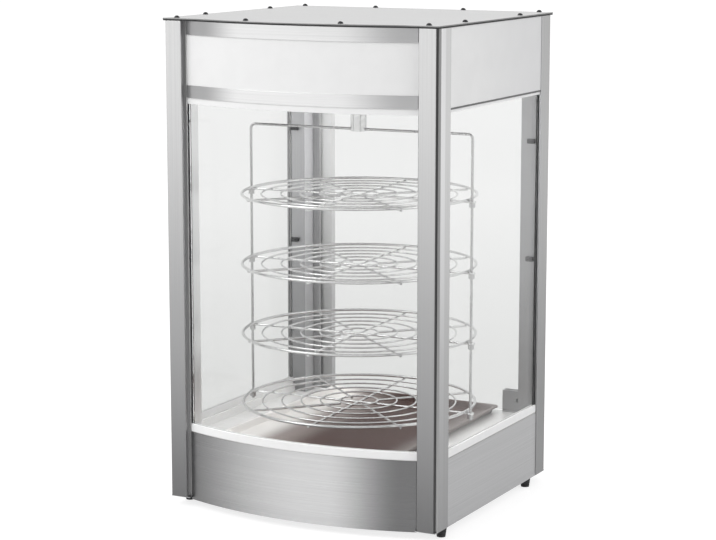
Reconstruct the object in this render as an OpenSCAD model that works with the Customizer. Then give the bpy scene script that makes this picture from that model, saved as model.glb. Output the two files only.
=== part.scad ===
// Countertop pizza warmer: a heated glass display cabinet with a rotating four-tier rack.
// Millimetres, +Z up, the front faces -Y, the origin lies on the counter under the middle of the whole.

/* [Cabinet] */
// Width over the corner posts
cabinet_w = 490; // [478:1:540]
// Depth over the proud strips of the front and rear posts
cabinet_d = 442; // [436:1:500]
// Height of the whole cabinet on its feet
cabinet_h = 805; // [765:1:885]
// How far the curved front bows out between the posts
front_bulge = 36; // [30:1:44]
// Height of the base, from the counter to the rail under the glass
base_h = 127; // [117:1:137]
// How far the floor deck lies below the top of the base
deck_drop = 12; // [9:0.5:16]
// Height of the header above the front glass
header_h = 127; // [115:1:135]
// Room above the ceiling plate for the drive
drive_room_h = 76; // [64:1:84]
// Gauge of the folded sheet panels
sheet_t = 1.2; // [0.8:0.1:1.6]
// How far the side panels lie inside the posts' side faces
panel_inset = 1.5; // [1:0.1:2]
// Depth of the folded edges of the panels
fold_d = 14; // [12.5:0.5:16]

/* [Posts] */
// Width of a post seen from the front
post_w = 38; // [36:1:42]
// Depth of a post seen from the side
post_d = 45; // [42:1:52]
// Step on each side of a post's proud strip
strip_step = 4.5; // [3:0.5:6]
// How far the strip stands proud of its step
strip_proud = 9; // [7:0.5:11]
// Wall of the post extrusion
post_wall = 2.5; // [1.8:0.1:3]
// Rounding of the strip's edges
strip_round = 1.2; // [0.6:0.1:2]

/* [Top and bottom plates] */
// Thickness of the top plate
top_t = 2; // [1.5:0.1:3]
// How far the top plate's curve reaches past the front panels
top_lip = 1; // [0.5:0.1:2]
// Thickness of the dark seal under the top plate
seal_t = 2.2; // [1:0.1:2.5]
// Width of the dark seal under the top plate
seal_w = 12; // [8:0.5:16]
// Thickness of the bottom plate
bottom_t = 1.5; // [1:0.1:2.5]
// Diameter of the dome screws on the top plate
dome_d = 9; // [7:0.5:11]
// Height of the dome screws on the top plate
dome_h = 4; // [3:0.1:4.5]
// Distance of the dome screws from the top plate's edges
dome_edge = 10; // [9:0.5:12]
// Distance of the corner dome screws from the top plate's sides
dome_corner = 21; // [16:1:26]
// Distance of the inner dome screws from the middle, along the front and the rear
dome_x = 84; // [70:1:120]
// Distance of the inner dome screws from the middle, along the sides
dome_y = 106; // [90:1:130]

/* [Feet] */
// Height of the rubber feet
foot_h = 15; // [12:0.5:20]
// Diameter of the rubber feet
foot_d = 18; // [16:0.5:22]
// Distance of the feet from the cabinet's sides
foot_side = 12; // [11.5:0.5:20]
// Distance of the front feet from the post strips' front
foot_front = 45; // [30:1:60]
// Distance of the rear feet from the post strips' rear
foot_rear = 64; // [50:1:90]
// Diameter of the foot screws
foot_screw_d = 4; // [3:0.5:5]

/* [Front panels and bands] */
// Height of the upper curved band
upper_band_h = 22; // [16:1:28]
// Height of the lower curved band
lower_band_h = 20; // [16:1:26]
// Thickness of the curved bands
band_t = 2; // [1.5:0.1:3]
// How far the base's front panel hangs below the bottom plate
front_hang = 3; // [1:0.5:5]

/* [Glass] */
// Thickness of the glass
glass_t = 5; // [4:0.5:6]
// Depth of the side glasses behind the posts' side faces
side_glass_in = 6; // [5:0.5:8]
// Depth of the front glass behind the curve of the base
front_glass_in = 4.5; // [3.5:0.5:6]
// Height of the lower glass rails
rail_h = 12; // [9:0.5:15]
// Height of the upper rail of the front glass
top_rail_h = 10; // [8:0.5:12]
// Height of the upper rails of the side glasses
side_rail_h = 7; // [6:0.5:12]
// Height of the seal strips under the header's side panels
strip_seal_h = 2.4; // [1.5:0.1:4]
// Wall of the glass rails
rail_wall = 1.5; // [1:0.1:2]
// Play of the glass in its rails, on each side
glass_play = 0.3; // [0.2:0.05:0.5]
// Depth of the glass grooves in the posts
groove_d = 8; // [6:0.5:10]
// Thickness of the black seals beside the glass
glass_seal_t = 2; // [1.5:0.1:2.5]
// Width of the dark clips on the rear posts
clip_w = 13; // [9:0.5:14]
// Height of the dark clips on the rear posts
clip_h = 8; // [6:0.5:12]
// Height of the lower clips over the deck
clip_low = 273; // [240:1:300]
// Height from the lower to the upper clips
clip_step = 200; // [160:1:230]
// How far the dark clips stand off the rear posts
clip_out = 6; // [4:0.5:8]

/* [Crumb pan] */
// Width of the pan over its rim
pan_w = 326; // [300:1:340]
// Depth of the pan over its rim, front to rear
pan_d = 392; // [360:1:396]
// Height of the pan's rim over the deck
pan_h = 12; // [9:0.5:15]
// Width of the pan's flat rim
pan_rim = 6; // [4:0.5:10]
// Corner radius of the pan
pan_round = 16; // [12:1:24]
// Gauge of the pan
pan_t = 1; // [0.8:0.1:1.5]

/* [Carousel] */
// Distance of the turning axis in front of the posts' centre
axis_front = 12; // [6:0.5:14]
// Angle at which the frame stands at rest
rest_turn = 3; // [0:0.5:10]
// Half of the frame's width, to the middle of its hanging wires
frame_half = 199.5; // [198:0.5:202]
// Diameter of the frame wire
frame_wire_d = 4.5; // [4:0.5:7]
// Bend radius at the frame's upper corners
frame_bend = 8; // [6:1:16]
// Height of the bottom rack over the deck
rack_low = 47; // [42:1:54]
// Height from one rack to the next
rack_pitch = 117; // [108:1:120]
// Height of the frame's top bar over the top rack
bar_over = 106; // [90:1:112]
// Radius of a rack's outer ring, to the middle of its wire
rack_r = 193; // [180:0.5:193]
// Diameter of a rack's outer wire
rim_wire_d = 5; // [4:0.5:5.5]
// Diameter of a rack's cross wires
cross_wire_d = 4; // [3:0.5:4.5]
// Diameter of a rack's inner wires
ring_wire_d = 3; // [2.5:0.5:4]
// Number of inner rings in a rack
inner_rings = 5; // [3:1:6]
// Depth to which the crossing wires are welded into each other
weld = 0.8; // [0.6:0.1:1]
// Diameter of the collars under the racks' eyes
collar_d = 10; // [9.5:0.5:13]
// Height of the collars under the racks' eyes
collar_h = 7; // [6:0.5:14]
// Diameter of the hub
hub_d = 27; // [24:1:32]
// Wall of the hub under the top bar
hub_lip = 1; // [0.8:0.1:3]
// Height of the hub's wide part over the top bar
hub_h = 31; // [26:1:36]
// Diameter of the hub's neck
neck_d = 16; // [14:0.5:18]
// Least length of the hub's neck
neck_gap = 5; // [3:0.5:10]
// Gap between the hub and the bush over it
hub_play = 0.5; // [0.3:0.1:1]
// Length of the hanging wires under the lowest rack
wire_end = 12; // [6:1:20]
// Diameter of the hub's set screw
hub_screw_d = 5; // [4:0.5:6]
// Height of the set screw over the top bar
hub_screw_up = 22; // [20:0.5:24]

/* [Drive] */
// Diameter of the drive shaft
shaft_d = 8; // [6:0.5:9]
// Running play between a shaft or pin and its hole, on the radius
run_play = 0.05; // [0.03:0.01:0.08]
// Outer diameter of the bush's sleeve
bush_d = 14; // [12:0.5:16]
// Diameter of the bush's flange
bush_flange_d = 26; // [22:1:32]
// Width of the gearbox
gearbox_w = 80; // [70:1:90]
// Depth of the gearbox
gearbox_d = 56; // [50:1:70]
// Height of the gearbox
gearbox_h = 24; // [22:1:28]
// Diameter of the motor can
motor_d = 50; // [40:1:54]
// Height of the motor can
motor_h = 22; // [16:1:26]
// Thickness of the motor's mounting plate
motor_plate_t = 2; // [1.5:0.1:3]
// How far the motor's mounting plate reaches past the gearbox at each end
plate_over = 17; // [15:1:22]
// Length of the shaft inside the gearbox
shaft_in = 16; // [12:0.5:18]
// Height of the shaft's lower end over the top bar
shaft_up = 12; // [9:0.5:15]
// Thickness of the bush's flange
bush_flange_t = 3; // [2:0.1:4]
// Diameter of the screws of the mounting plate
plate_screw_d = 4; // [3:0.5:5]

/* [Door] */
// Gap between the door and the posts
door_gap = 1.5; // [1:0.1:2]
// Distance of the door's middle plane from the rear strips' face
door_in = 12; // [11:0.5:15]
// Width of the door's grip profile
grip_w = 34; // [28:1:40]
// How far the grip's finger lip stands behind the glass
grip_out = 16; // [13:0.5:17]
// Length of the grip's finger lip
grip_lip = 13; // [10:0.5:16]
// Width of a hinge clamp
clamp_w = 36; // [32:1:42]
// Height of a hinge clamp
clamp_h = 36; // [32:1:42]
// Thickness of a hinge clamp
clamp_t = 16; // [14:0.5:18]
// Distance of the hinge pin from the clamp's outer end
pin_in = 10; // [9:0.5:11]
// Diameter of the hinge pins
pin_d = 6; // [5:0.5:7]
// Length of the hinge pins
pin_l = 6; // [5:0.5:6.5]
// Thickness of the clamp's foot round the pin
clamp_foot = 7; // [6.8:0.1:8]
// Thickness of the pin's bracket
bracket_t = 2; // [1.5:0.1:3]
// Diameter of the clamp screws
clamp_screw_d = 5; // [4:0.5:6]
// Diameter of the clamp screws' heads
clamp_head_d = 8; // [7:0.5:9]
// Distance of the clamp screws outside the hinge pins
screw_out = 3; // [0:0.5:4]
// Width of the magnet catch
catch_w = 40; // [30:1:50]
// Depth of the magnet catch
catch_d = 14; // [10:0.5:18]
// Width of the catch's plate on the glass
strike_w = 24; // [16:1:28]
// Height to which the catch and its plate lap the glass
catch_lap = 12; // [8:0.5:16]

/* [Controls] */
// Height of the controls over the counter
control_z = 67; // [60:1:73]
// Distance of the first rocker switch from the middle
heat_x = -70; // [-85:1:-60]
// Distance between the middles of the rocker switches
rocker_pitch = 36; // [32:1:44]
// Distance of the pilot lamp from the middle
pilot_x = 50; // [44:1:60]
// Distance of the thermostat from the middle
knob_x = 115; // [105:1:130]
// Distance of the power inlet from the middle
inlet_x = -150; // [-165:1:-140]
// Width of a rocker
rocker_w = 14; // [11:0.5:16]
// Half length of a rocker
rocker_half = 12; // [10:0.5:13]
// Tilt of a rocker to each side
rocker_tilt = 10; // [8:0.5:12]
// Diameter of the thermostat knob
knob_d = 38; // [32:1:46]
// Height of the thermostat knob
knob_h = 16; // [14:0.5:20]
// Height of the knob's skirt
skirt_h = 5; // [4:0.5:7]
// Diameter of the thermostat dial
dial_d = 64; // [56:1:70]
// Thickness of the thermostat dial
dial_t = 0.8; // [0.5:0.1:1.2]
// Gap between the knob and the dial
knob_gap = 0.6; // [0.4:0.1:1]
// Diameter of the thermostat shaft
spindle_d = 6; // [5:0.5:7]
// Diameter of the pilot lamp's lens
pilot_d = 13; // [11:0.5:16]
// Width of a rocker switch's bezel round its body
bezel_w = 2; // [1.5:0.1:3]
// Thickness of the bezels
bezel_t = 2.2; // [1.5:0.1:3]
// Wall of a switch body round its rocker
housing_wall = 2.5; // [2:0.1:3]
// Depth of a switch body behind the panel
housing_deep = 22; // [18:0.5:26]
// Diameter of a rocker's axle
stub_d = 3; // [2:0.1:3.5]
// Width of the thermostat's body
thermostat_w = 34; // [30:1:40]
// Depth of the thermostat's body
thermostat_deep = 22; // [18:1:30]
// Width of the power inlet's flange
inlet_w = 50; // [46:1:54]
// Height of the power inlet's flange
inlet_h = 30; // [28:0.5:34]
// Width of the power inlet's socket
socket_w = 24.6; // [24:0.1:26]
// Height of the power inlet's socket
socket_h = 17.2; // [16.4:0.1:18]
// Depth of the power inlet's socket
socket_deep = 14; // [12:0.5:17]

/* [Heat and light] */
// Diameter of the lamp tube
lamp_d = 14; // [10:0.5:16]
// Length of the lamp tube
lamp_l = 320; // [280:1:340]
// Diameter of the heating element
element_d = 8; // [6.5:0.5:9]
// Distance of the element's legs from the middle
element_half = 90; // [70:1:110]
// Length of the element's straight legs
element_l = 160; // [130:1:180]
// Gap between the element and the deck
element_gap = 7; // [5:0.5:10]
// Distance of the straight legs' front ends in front of the middle
element_front = 40; // [30:1:50]
// Width of the element's saddles
saddle_w = 12; // [8:0.5:16]
// Distance of the saddles from the ends of the straight legs
saddle_in = 20; // [12:1:30]
// Distance of the lamp behind the header's front
lamp_back = 14; // [10:0.5:20]
// Distance of the lamp below the ceiling
lamp_under = 8; // [6:0.5:14]
// Length of the lamp's ends inside the holders
lamp_hold = 9; // [6:0.5:12]
// Diameter of the thermostat's bulb
bulb_d = 6; // [5:0.5:8]
// Length of the thermostat's bulb
bulb_l = 80; // [60:1:100]
// Width of the terminal block
block_w = 64; // [50:1:80]
// Depth of the terminal block
block_d = 22; // [18:0.5:28]
// Height of the terminal block
block_h = 16; // [12:0.5:22]
// Distance of the terminal block behind the middle
block_back = 60; // [50:1:80]

/* [Hidden] */
$fn = 48;

fit = 0.3;
arc_fn = 240;

// Where the cabinet lies, so that the origin is under the middle of the whole
front_out = front_bulge + top_lip - strip_proud;
rear_out = dial_t + knob_gap + knob_h - strip_proud;
mid_y = (front_out - rear_out) / 2;
front_y = mid_y - cabinet_d / 2;
rear_y = mid_y + cabinet_d / 2;
half_w = cabinet_w / 2;
inner_x = half_w - post_w;
panel_half = inner_x - fit;

// The curve of the front, through the steps beside the front strips
curve_y = front_y + strip_proud;
curve_r = (inner_x * inner_x + front_bulge * front_bulge) / (2 * front_bulge);
curve_mid_y = curve_y - front_bulge + curve_r;

// Heights
post_z0 = foot_h + bottom_t;
post_z1 = cabinet_h - top_t - seal_t;
rail_z = base_h + sheet_t;
deck_z = base_h - deck_drop;
header_z = cabinet_h - header_h;
bar_z = deck_z + rack_low + 3 * rack_pitch + bar_over;
hub_z1 = bar_z + hub_h;
ceiling_t = 1.5;
ceiling_z = max(cabinet_h - drive_room_h, hub_z1 + neck_gap + bush_flange_t + hub_play);
glass_z0 = rail_z + rail_wall + fit;
glass_z1 = header_z - rail_wall - fit;

// Side glass, its rails and grooves, measured inwards from the posts' side faces
groove_u0 = side_glass_in - glass_seal_t;
groove_u1 = side_glass_in + glass_t + glass_play;
rail_u0 = panel_inset + 1;
rail_u1 = groove_u1 + rail_wall;
front_rail_in = front_glass_in + glass_t + glass_play + rail_wall;
post_face_y = front_y + post_d;
rear_face_y = rear_y - post_d;

// Carousel
axis_y = mid_y - axis_front;
eye_r = frame_wire_d / 2 + fit + cross_wire_d / 2;
cross_drop = rim_wire_d / 2 + cross_wire_d / 2 - weld;
eye_drop = cross_drop + cross_wire_d / 2;

// Drive
drive_z = ceiling_z + ceiling_t + motor_plate_t;
plate_w = gearbox_w + 2 * plate_over;
plate_d = gearbox_d + plate_over - 3;
shaft_z0 = bar_z + shaft_up;
motor_x = gearbox_w / 2 - motor_d / 2 - 1;

// Door
panel_y = rear_y - strip_proud;
door_y = rear_y - door_in;
hinge_x = inner_x - 4 - pin_in;
clamp_x0 = hinge_x + pin_in - clamp_w;
clamp_z0 = deck_z + bracket_t + 0.5;
clamp_z1 = ceiling_z - bracket_t - 0.5;
door_glass_z0 = deck_z + door_gap + 1;
door_glass_z1 = ceiling_z - door_gap - 1;
grip_x0 = -inner_x + door_gap;
grip_t = 5;
grip_web = 4;
slot_half = glass_t / 2 + 0.1;
door_glass_x0 = grip_x0 + grip_web + fit;
door_glass_x1 = hinge_x + pin_in - 2;
clamp_screw_x = hinge_x + screw_out;
clamp_screw_z = clamp_z0 + clamp_h / 2 + 2;
catch_x = -inner_x + grip_w + 24;

// Controls on the rear panel
pivot_y = panel_y - 1;
knob_y = panel_y + dial_t + knob_gap;
rocker_out = 4.5;
rocker_deep = 6;
rocker_reach = sqrt(rocker_half * rocker_half + rocker_out * rocker_out);
cavity_w = rocker_w + 0.8;
cavity_half = rocker_reach + 0.4;
stub_l = cavity_w + 2.8;
housing_w = cavity_w + 2 * housing_wall;
housing_half = cavity_half + housing_wall - 0.5;
nose_d = spindle_d + 4;
socket_wall = 3;

// Lamp behind the header
lamp_y = curve_y + lamp_back + lamp_d / 2;
lamp_z = ceiling_z - lamp_under - lamp_d;

// Heat under the deck
under_deck = deck_z - sheet_t;
element_z = under_deck - element_gap - element_d / 2;
element_front_y = mid_y - element_front;

// Points of a quarter circle, for rounded corners of extruded outlines
function quarter(cx, cy, r, a0) =
    [for (a = [a0:15:a0 + 90]) [cx + r * cos(a), cy + r * sin(a)]];

// Points of a rectangle about [cx, cy] with half sizes hx and hy and round corners
function round_rect(cx, cy, hx, hy, r) = concat(
    quarter(cx + hx - r, cy + hy - r, r, 0),
    quarter(cx - hx + r, cy + hy - r, r, 90),
    quarter(cx - hx + r, cy - hy + r, r, 180),
    quarter(cx + hx - r, cy - hy + r, r, 270));

// Draws its children on the right and mirrored on the left
module both_sides() {
    for (side = [0, 1]) mirror([side, 0, 0]) children();
}

// Draws its children at the front and mirrored at the rear
module rear_too() {
    for (side = [0, 1]) translate([0, mid_y, 0]) mirror([0, side, 0]) translate([0, -mid_y, 0]) children();
}

// Draws its children about the turning axis, at the angle of rest
module on_axis() {
    translate([0, axis_y, 0]) rotate([0, 0, rest_turn]) children();
}

// The cabinet seen from above, drawn in by inset
module plan(inset) {
    translate([-half_w + inset, front_y + inset]) square([cabinet_w - 2 * inset, cabinet_d - 2 * inset]);
    intersection() {
        translate([0, curve_mid_y]) circle(curve_r + top_lip - inset, $fn = arc_fn);
        translate([-inner_x, front_y - front_bulge]) square([2 * inner_x, front_bulge + 2 * post_d]);
    }
}

// The space outside the front panels' ends
module beyond_panels() {
    both_sides() translate([panel_half, front_y - front_bulge, 0])
        cube([post_w, 2 * cabinet_d, cabinet_h]);
}

// A wall along the curve of the front, from inset to inset + thick behind it
module curved_wall(inset, thick, z0, h, half = panel_half) {
    translate([0, 0, z0]) linear_extrude(h) intersection() {
        translate([0, curve_mid_y]) difference() {
            circle(curve_r - inset, $fn = arc_fn);
            circle(curve_r - inset - thick, $fn = arc_fn);
        }
        translate([-half, front_y - front_bulge]) square([2 * half, front_bulge + 2 * post_d]);
    }
}

// The space inside the panels, seen from above: drawn in from the sides, the curve and the rear
module inside(side_in, front_in, rear_in, notch) {
    difference() {
        intersection() {
            translate([0, curve_mid_y]) circle(curve_r - front_in, $fn = arc_fn);
            translate([-half_w + side_in, front_y - front_bulge])
                square([cabinet_w - 2 * side_in, panel_y - rear_in - front_y + front_bulge]);
        }
        both_sides() translate([inner_x - notch, front_y - front_bulge])
            square([post_w + notch + 1, front_bulge + post_d + notch]);
        both_sides() translate([inner_x - notch, rear_face_y - notch])
            square([post_w + notch + 1, 2 * post_d]);
    }
}

// A folded sheet tray, open towards -X, with its outer face at x = 0
module folded_panel(y0, y1, z0, z1, deep) {
    difference() {
        translate([-deep, y0, z0]) cube([deep, y1 - y0, z1 - z0]);
        translate([-deep - 1, y0 + sheet_t, z0 + sheet_t])
            cube([deep + 1 - sheet_t, y1 - y0 - 2 * sheet_t, z1 - z0 - 2 * sheet_t]);
    }
}

// Section of a post: u runs inwards from the side face, v runs back from the proud strip
module post_section() {
    strip_u1 = post_w - strip_step;
    difference() {
        polygon(concat(
            quarter(strip_step + strip_round, strip_round, strip_round, 180),
            quarter(strip_u1 - strip_round, strip_round, strip_round, 270),
            [[strip_u1, strip_proud], [post_w, strip_proud], [post_w, post_d]],
            [[groove_u1, post_d], [groove_u1, post_d - groove_d]],
            [[groove_u0, post_d - groove_d], [groove_u0, post_d]],
            quarter(strip_round, post_d - strip_round, strip_round, 90),
            quarter(strip_step, strip_proud + strip_step, strip_step, 180)));
        translate([strip_step + post_wall, strip_proud + post_wall])
            square([post_w - strip_step - 2 * post_wall, post_d - strip_proud - groove_d - 2 * post_wall]);
    }
}

module front_posts() {
    color("silver") both_sides() translate([half_w, front_y, post_z0])
        mirror([1, 0, 0]) linear_extrude(post_z1 - post_z0) post_section();
}

module rear_posts() {
    color("silver") both_sides() translate([half_w, rear_y, post_z0])
        mirror([1, 0, 0]) mirror([0, 1, 0]) linear_extrude(post_z1 - post_z0) post_section();
}

// Where the four feet stand
module at_feet() {
    both_sides() {
        translate([half_w - foot_side, front_y + foot_front, 0]) children();
        translate([half_w - foot_side, rear_y - foot_rear, 0]) children();
    }
}

module bottom_plate() {
    color("gray") difference() {
        translate([0, 0, foot_h]) linear_extrude(bottom_t) plan(top_lip + sheet_t + fit);
        curved_wall(-front_bulge, front_bulge + sheet_t + fit, foot_h - 1, bottom_t + 2, inner_x);
        at_feet() translate([0, 0, foot_h - 1])
            cylinder(d = foot_screw_d + 2 * run_play, h = bottom_t + 2);
    }
}

module rubber_feet() {
    head_d = foot_screw_d * 2 + 1;
    color("black") at_feet() difference() {
        cylinder(d1 = foot_d - 4, d2 = foot_d, h = foot_h);
        translate([0, 0, -1]) cylinder(d = head_d, h = foot_h / 2 + 1);
        translate([0, 0, -1]) cylinder(d = foot_screw_d + 2 * run_play, h = foot_h + 2);
    }
}

// Pan-head screws of the feet and of the motor's plate
module hidden_screws() {
    color("dimgray") {
        at_feet() translate([0, 0, foot_h / 2 - 2.5]) {
            cylinder(d = foot_screw_d * 2, h = 2.5);
            cylinder(d = foot_screw_d, h = foot_h / 2 + 2.5 + bottom_t);
        }
        at_plate_corners() {
            translate([0, 0, drive_z]) cylinder(d = plate_screw_d * 1.8, h = 2.4);
            translate([0, 0, ceiling_z]) cylinder(d = plate_screw_d, h = drive_z - ceiling_z + 1);
        }
    }
}

module base_front_panel() {
    color("lightgray") {
        difference() {
            union() {
                curved_wall(0, sheet_t, foot_h - front_hang, base_h - foot_h + front_hang);
                curved_wall(0, fold_d, base_h - sheet_t, sheet_t);
                both_sides() translate([panel_half - sheet_t, curve_y, post_z0])
                    cube([sheet_t, fold_d, base_h - post_z0]);
            }
            beyond_panels();
        }
    }
}

module base_side_panels() {
    color("silver") both_sides() translate([half_w - panel_inset, 0, 0])
        folded_panel(post_face_y + 0.1, rear_face_y - 0.1, post_z0, base_h, fold_d);
}

module floor_deck() {
    wall_in = max(rail_u1 + 2, panel_inset + fold_d + fit);
    front_in = max(front_rail_in + 2, fold_d + fit);
    color("gainsboro") difference() {
        union() {
            translate([0, 0, under_deck]) linear_extrude(rail_z - under_deck)
                inside(wall_in, front_in, 0, fit);
            translate([0, 0, base_h]) linear_extrude(sheet_t) inside(rail_u0, 1, 0, fit);
        }
        translate([0, 0, deck_z]) linear_extrude(deck_drop + 2 * sheet_t)
            inside(wall_in + sheet_t, front_in + sheet_t, -2 * post_d, -2);
        translate([-inner_x, rear_face_y, deck_z]) cube([2 * inner_x, post_d, 2 * deck_drop]);
    }
}

module crumb_pan() {
    half_x = pan_w / 2;
    half_y = pan_d / 2;
    pan_y = door_y - clamp_t / 2 - 2 - fit - half_y;
    wall_in = pan_rim + pan_t;
    z0 = deck_z + fit;
    color("dimgray") difference() {
        union() {
            translate([0, 0, z0]) linear_extrude(pan_h - fit)
                polygon(round_rect(0, pan_y, half_x - pan_rim, half_y - pan_rim, pan_round - pan_rim));
            translate([0, 0, deck_z + pan_h - pan_t]) linear_extrude(pan_t)
                polygon(round_rect(0, pan_y, half_x, half_y, pan_round));
        }
        translate([0, 0, z0 + pan_t]) linear_extrude(pan_h)
            polygon(round_rect(0, pan_y, half_x - wall_in, half_y - wall_in, pan_round - wall_in));
    }
}

// Section of a side rail: a channel that holds the glass on all but one side
module rail_section(h) {
    difference() {
        translate([-rail_u1, 0]) square([rail_u1 - rail_u0, h]);
        translate([-groove_u1, rail_wall]) square([glass_t + 2 * glass_play, h]);
    }
}

module side_rail(h) {
    translate([half_w, rear_face_y - 0.1, 0]) rotate([90, 0, 0])
        linear_extrude(rear_face_y - post_face_y - 0.2) rail_section(h);
}

module front_rail(z0, h, slot_z, outer_in) {
    difference() {
        curved_wall(outer_in, front_rail_in - outer_in, z0, h);
        curved_wall(front_glass_in - glass_play, glass_t + 2 * glass_play, slot_z, h, inner_x);
    }
}

module lower_rails() {
    color("whitesmoke") {
        both_sides() translate([0, 0, rail_z]) side_rail(rail_h);
        front_rail(rail_z, rail_h, rail_z + rail_wall, 1);
    }
}

module upper_rails() {
    color("whitesmoke") {
        both_sides() translate([0, 0, header_z]) mirror([0, 0, 1]) side_rail(side_rail_h);
        front_rail(header_z - top_rail_h, top_rail_h, header_z - rail_wall - top_rail_h, 2);
    }
}

module front_glass() {
    color("lightcyan", 0.3) curved_wall(front_glass_in, glass_t, glass_z0, glass_z1 - glass_z0,
        inner_x - glass_seal_t);
}

module side_glasses() {
    in_groove = groove_d - 2;
    color("lightcyan", 0.3) both_sides()
        translate([half_w - side_glass_in - glass_t, post_face_y - in_groove, glass_z0])
            cube([glass_t, rear_face_y - post_face_y + 2 * in_groove, glass_z1 - glass_z0]);
}

// Black seals: in the posts' grooves, at the ends of the curved glass, and under the header's sides
module glass_seals() {
    seal_z0 = rail_z + rail_h;
    seal_h = header_z - top_rail_h - seal_z0;
    color("black") both_sides() {
        rear_too() translate([half_w - side_glass_in, post_face_y - groove_d + 0.5, seal_z0])
            cube([glass_seal_t, groove_d + 0.5, seal_h]);
        translate([inner_x - glass_seal_t + 0.1, curve_y + front_glass_in - 1, seal_z0])
            cube([glass_seal_t - 0.1, glass_t + 3, seal_h]);
        translate([half_w - rail_u0, post_face_y + 0.1, header_z - strip_seal_h])
            cube([rail_u0 - 0.5, rear_face_y - post_face_y - 0.2, strip_seal_h]);
    }
}

module glass_clips() {
    clip_x = half_w - groove_u1 - 1 - clip_w;
    color("dimgray") both_sides() for (i = [0:1])
        translate([clip_x, rear_face_y - clip_out, deck_z + clip_low + clip_step * i])
            cube([clip_w, clip_out, clip_h]);
}

module header_front_panel() {
    color("white") {
        difference() {
            union() {
                curved_wall(band_t, sheet_t, header_z, post_z1 - header_z);
                curved_wall(band_t, fold_d, header_z, sheet_t);
                curved_wall(band_t, fold_d, post_z1 - sheet_t, sheet_t);
                both_sides() translate([panel_half - sheet_t, curve_y + band_t, header_z])
                    cube([sheet_t, fold_d, post_z1 - header_z]);
            }
            beyond_panels();
        }
    }
}

module upper_band() {
    color("silver") curved_wall(0, band_t - 0.1, post_z1 - upper_band_h, upper_band_h);
}

module lower_band() {
    color("silver") curved_wall(0, band_t - 0.1, header_z, lower_band_h);
}

module header_side_panels() {
    color("whitesmoke") both_sides() translate([half_w - panel_inset, 0, 0])
        folded_panel(post_face_y + 0.1, rear_face_y - 0.1, header_z, post_z1, fold_d);
}

// A folded panel between the rear posts, with its outer face on the posts' step
module rear_panel(z0, z1) {
    translate([0, panel_y, 0]) rotate([0, 0, 90])
        folded_panel(-panel_half, panel_half, z0, z1, fold_d);
}

module header_rear_panel() {
    color("whitesmoke") rear_panel(ceiling_z + ceiling_t + fit, post_z1);
}

module ceiling_plate() {
    color("gainsboro") difference() {
        translate([0, 0, ceiling_z]) linear_extrude(ceiling_t)
            inside(panel_inset + sheet_t + fit, band_t + sheet_t + fit, 0, sheet_t + 2 * fit);
        translate([0, axis_y, ceiling_z - 1]) cylinder(d = bush_d + 2 * run_play, h = ceiling_t + 2);
        at_plate_corners() translate([0, 0, ceiling_z - 1])
            cylinder(d = plate_screw_d + 0.2, h = ceiling_t + 2);
    }
}

module top_seal() {
    color("black") translate([0, 0, post_z1]) linear_extrude(seal_t) difference() {
        plan(0.4);
        plan(0.4 + seal_w);
    }
}

module top_plate() {
    color("gainsboro") translate([0, 0, cabinet_h - top_t]) linear_extrude(top_t) plan(0);
}

// Where the dome screws of the top plate stand
module at_top_screws() {
    side_x = half_w - dome_edge;
    curve_dip = curve_r - sqrt(curve_r * curve_r - dome_x * dome_x);
    both_sides() {
        translate([half_w - dome_corner, front_y + dome_edge, 0]) children();
        translate([half_w - dome_corner, rear_y - dome_edge, 0]) children();
        translate([side_x, mid_y - dome_y, 0]) children();
        translate([side_x, mid_y + dome_y, 0]) children();
        translate([dome_x, curve_y - front_bulge + curve_dip + dome_edge, 0]) children();
        translate([dome_x, rear_y - dome_edge, 0]) children();
    }
}

module top_screws() {
    dome_r = (dome_d * dome_d / 4 + dome_h * dome_h) / (2 * dome_h);
    color("dimgray") at_top_screws() translate([0, 0, cabinet_h]) intersection() {
        translate([0, 0, dome_h - dome_r]) sphere(r = dome_r);
        cylinder(d = dome_d + 2, h = dome_h + 1);
    }
}

module lamp_tube() {
    color("ivory") translate([-lamp_l / 2, lamp_y, lamp_z]) rotate([0, 90, 0])
        cylinder(d = lamp_d, h = lamp_l);
}

module lamp_holders() {
    side = lamp_d + 6;
    color("whitesmoke") both_sides() difference() {
        translate([lamp_l / 2 - lamp_hold, lamp_y - side / 2, lamp_z - side / 2])
            cube([lamp_hold + 6, side, ceiling_z - lamp_z + side / 2]);
        translate([lamp_l / 2 - lamp_hold - 1, lamp_y, lamp_z]) rotate([0, 90, 0])
            cylinder(d = lamp_d + 2 * run_play, h = lamp_hold + 1 + run_play);
    }
}

module at_plate_corners() {
    for (i = [-1, 1], j = [-1, 1])
        translate([i * (plate_w / 2 - 7), axis_y + j * (plate_d / 2 - 7), 0]) children();
}

module motor_plate() {
    color("gray") difference() {
        translate([-plate_w / 2, axis_y - plate_d / 2, ceiling_z + ceiling_t])
            cube([plate_w, plate_d, motor_plate_t]);
        translate([0, axis_y, ceiling_z]) cylinder(d = bush_d + 2 * run_play, h = 10);
        at_plate_corners() translate([0, 0, ceiling_z]) cylinder(d = plate_screw_d + 0.2, h = 10);
    }
}

module gear_motor() {
    color("slategray") translate([0, axis_y, drive_z]) difference() {
        union() {
            translate([-gearbox_w / 2, -gearbox_d / 2, 0]) cube([gearbox_w, gearbox_d, gearbox_h]);
            translate([motor_x, 0, gearbox_h - 1]) cylinder(d = motor_d, h = motor_h + 1);
        }
        translate([0, 0, -1]) cylinder(d = shaft_d + 2 * run_play, h = shaft_in + 1.5);
    }
}

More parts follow.
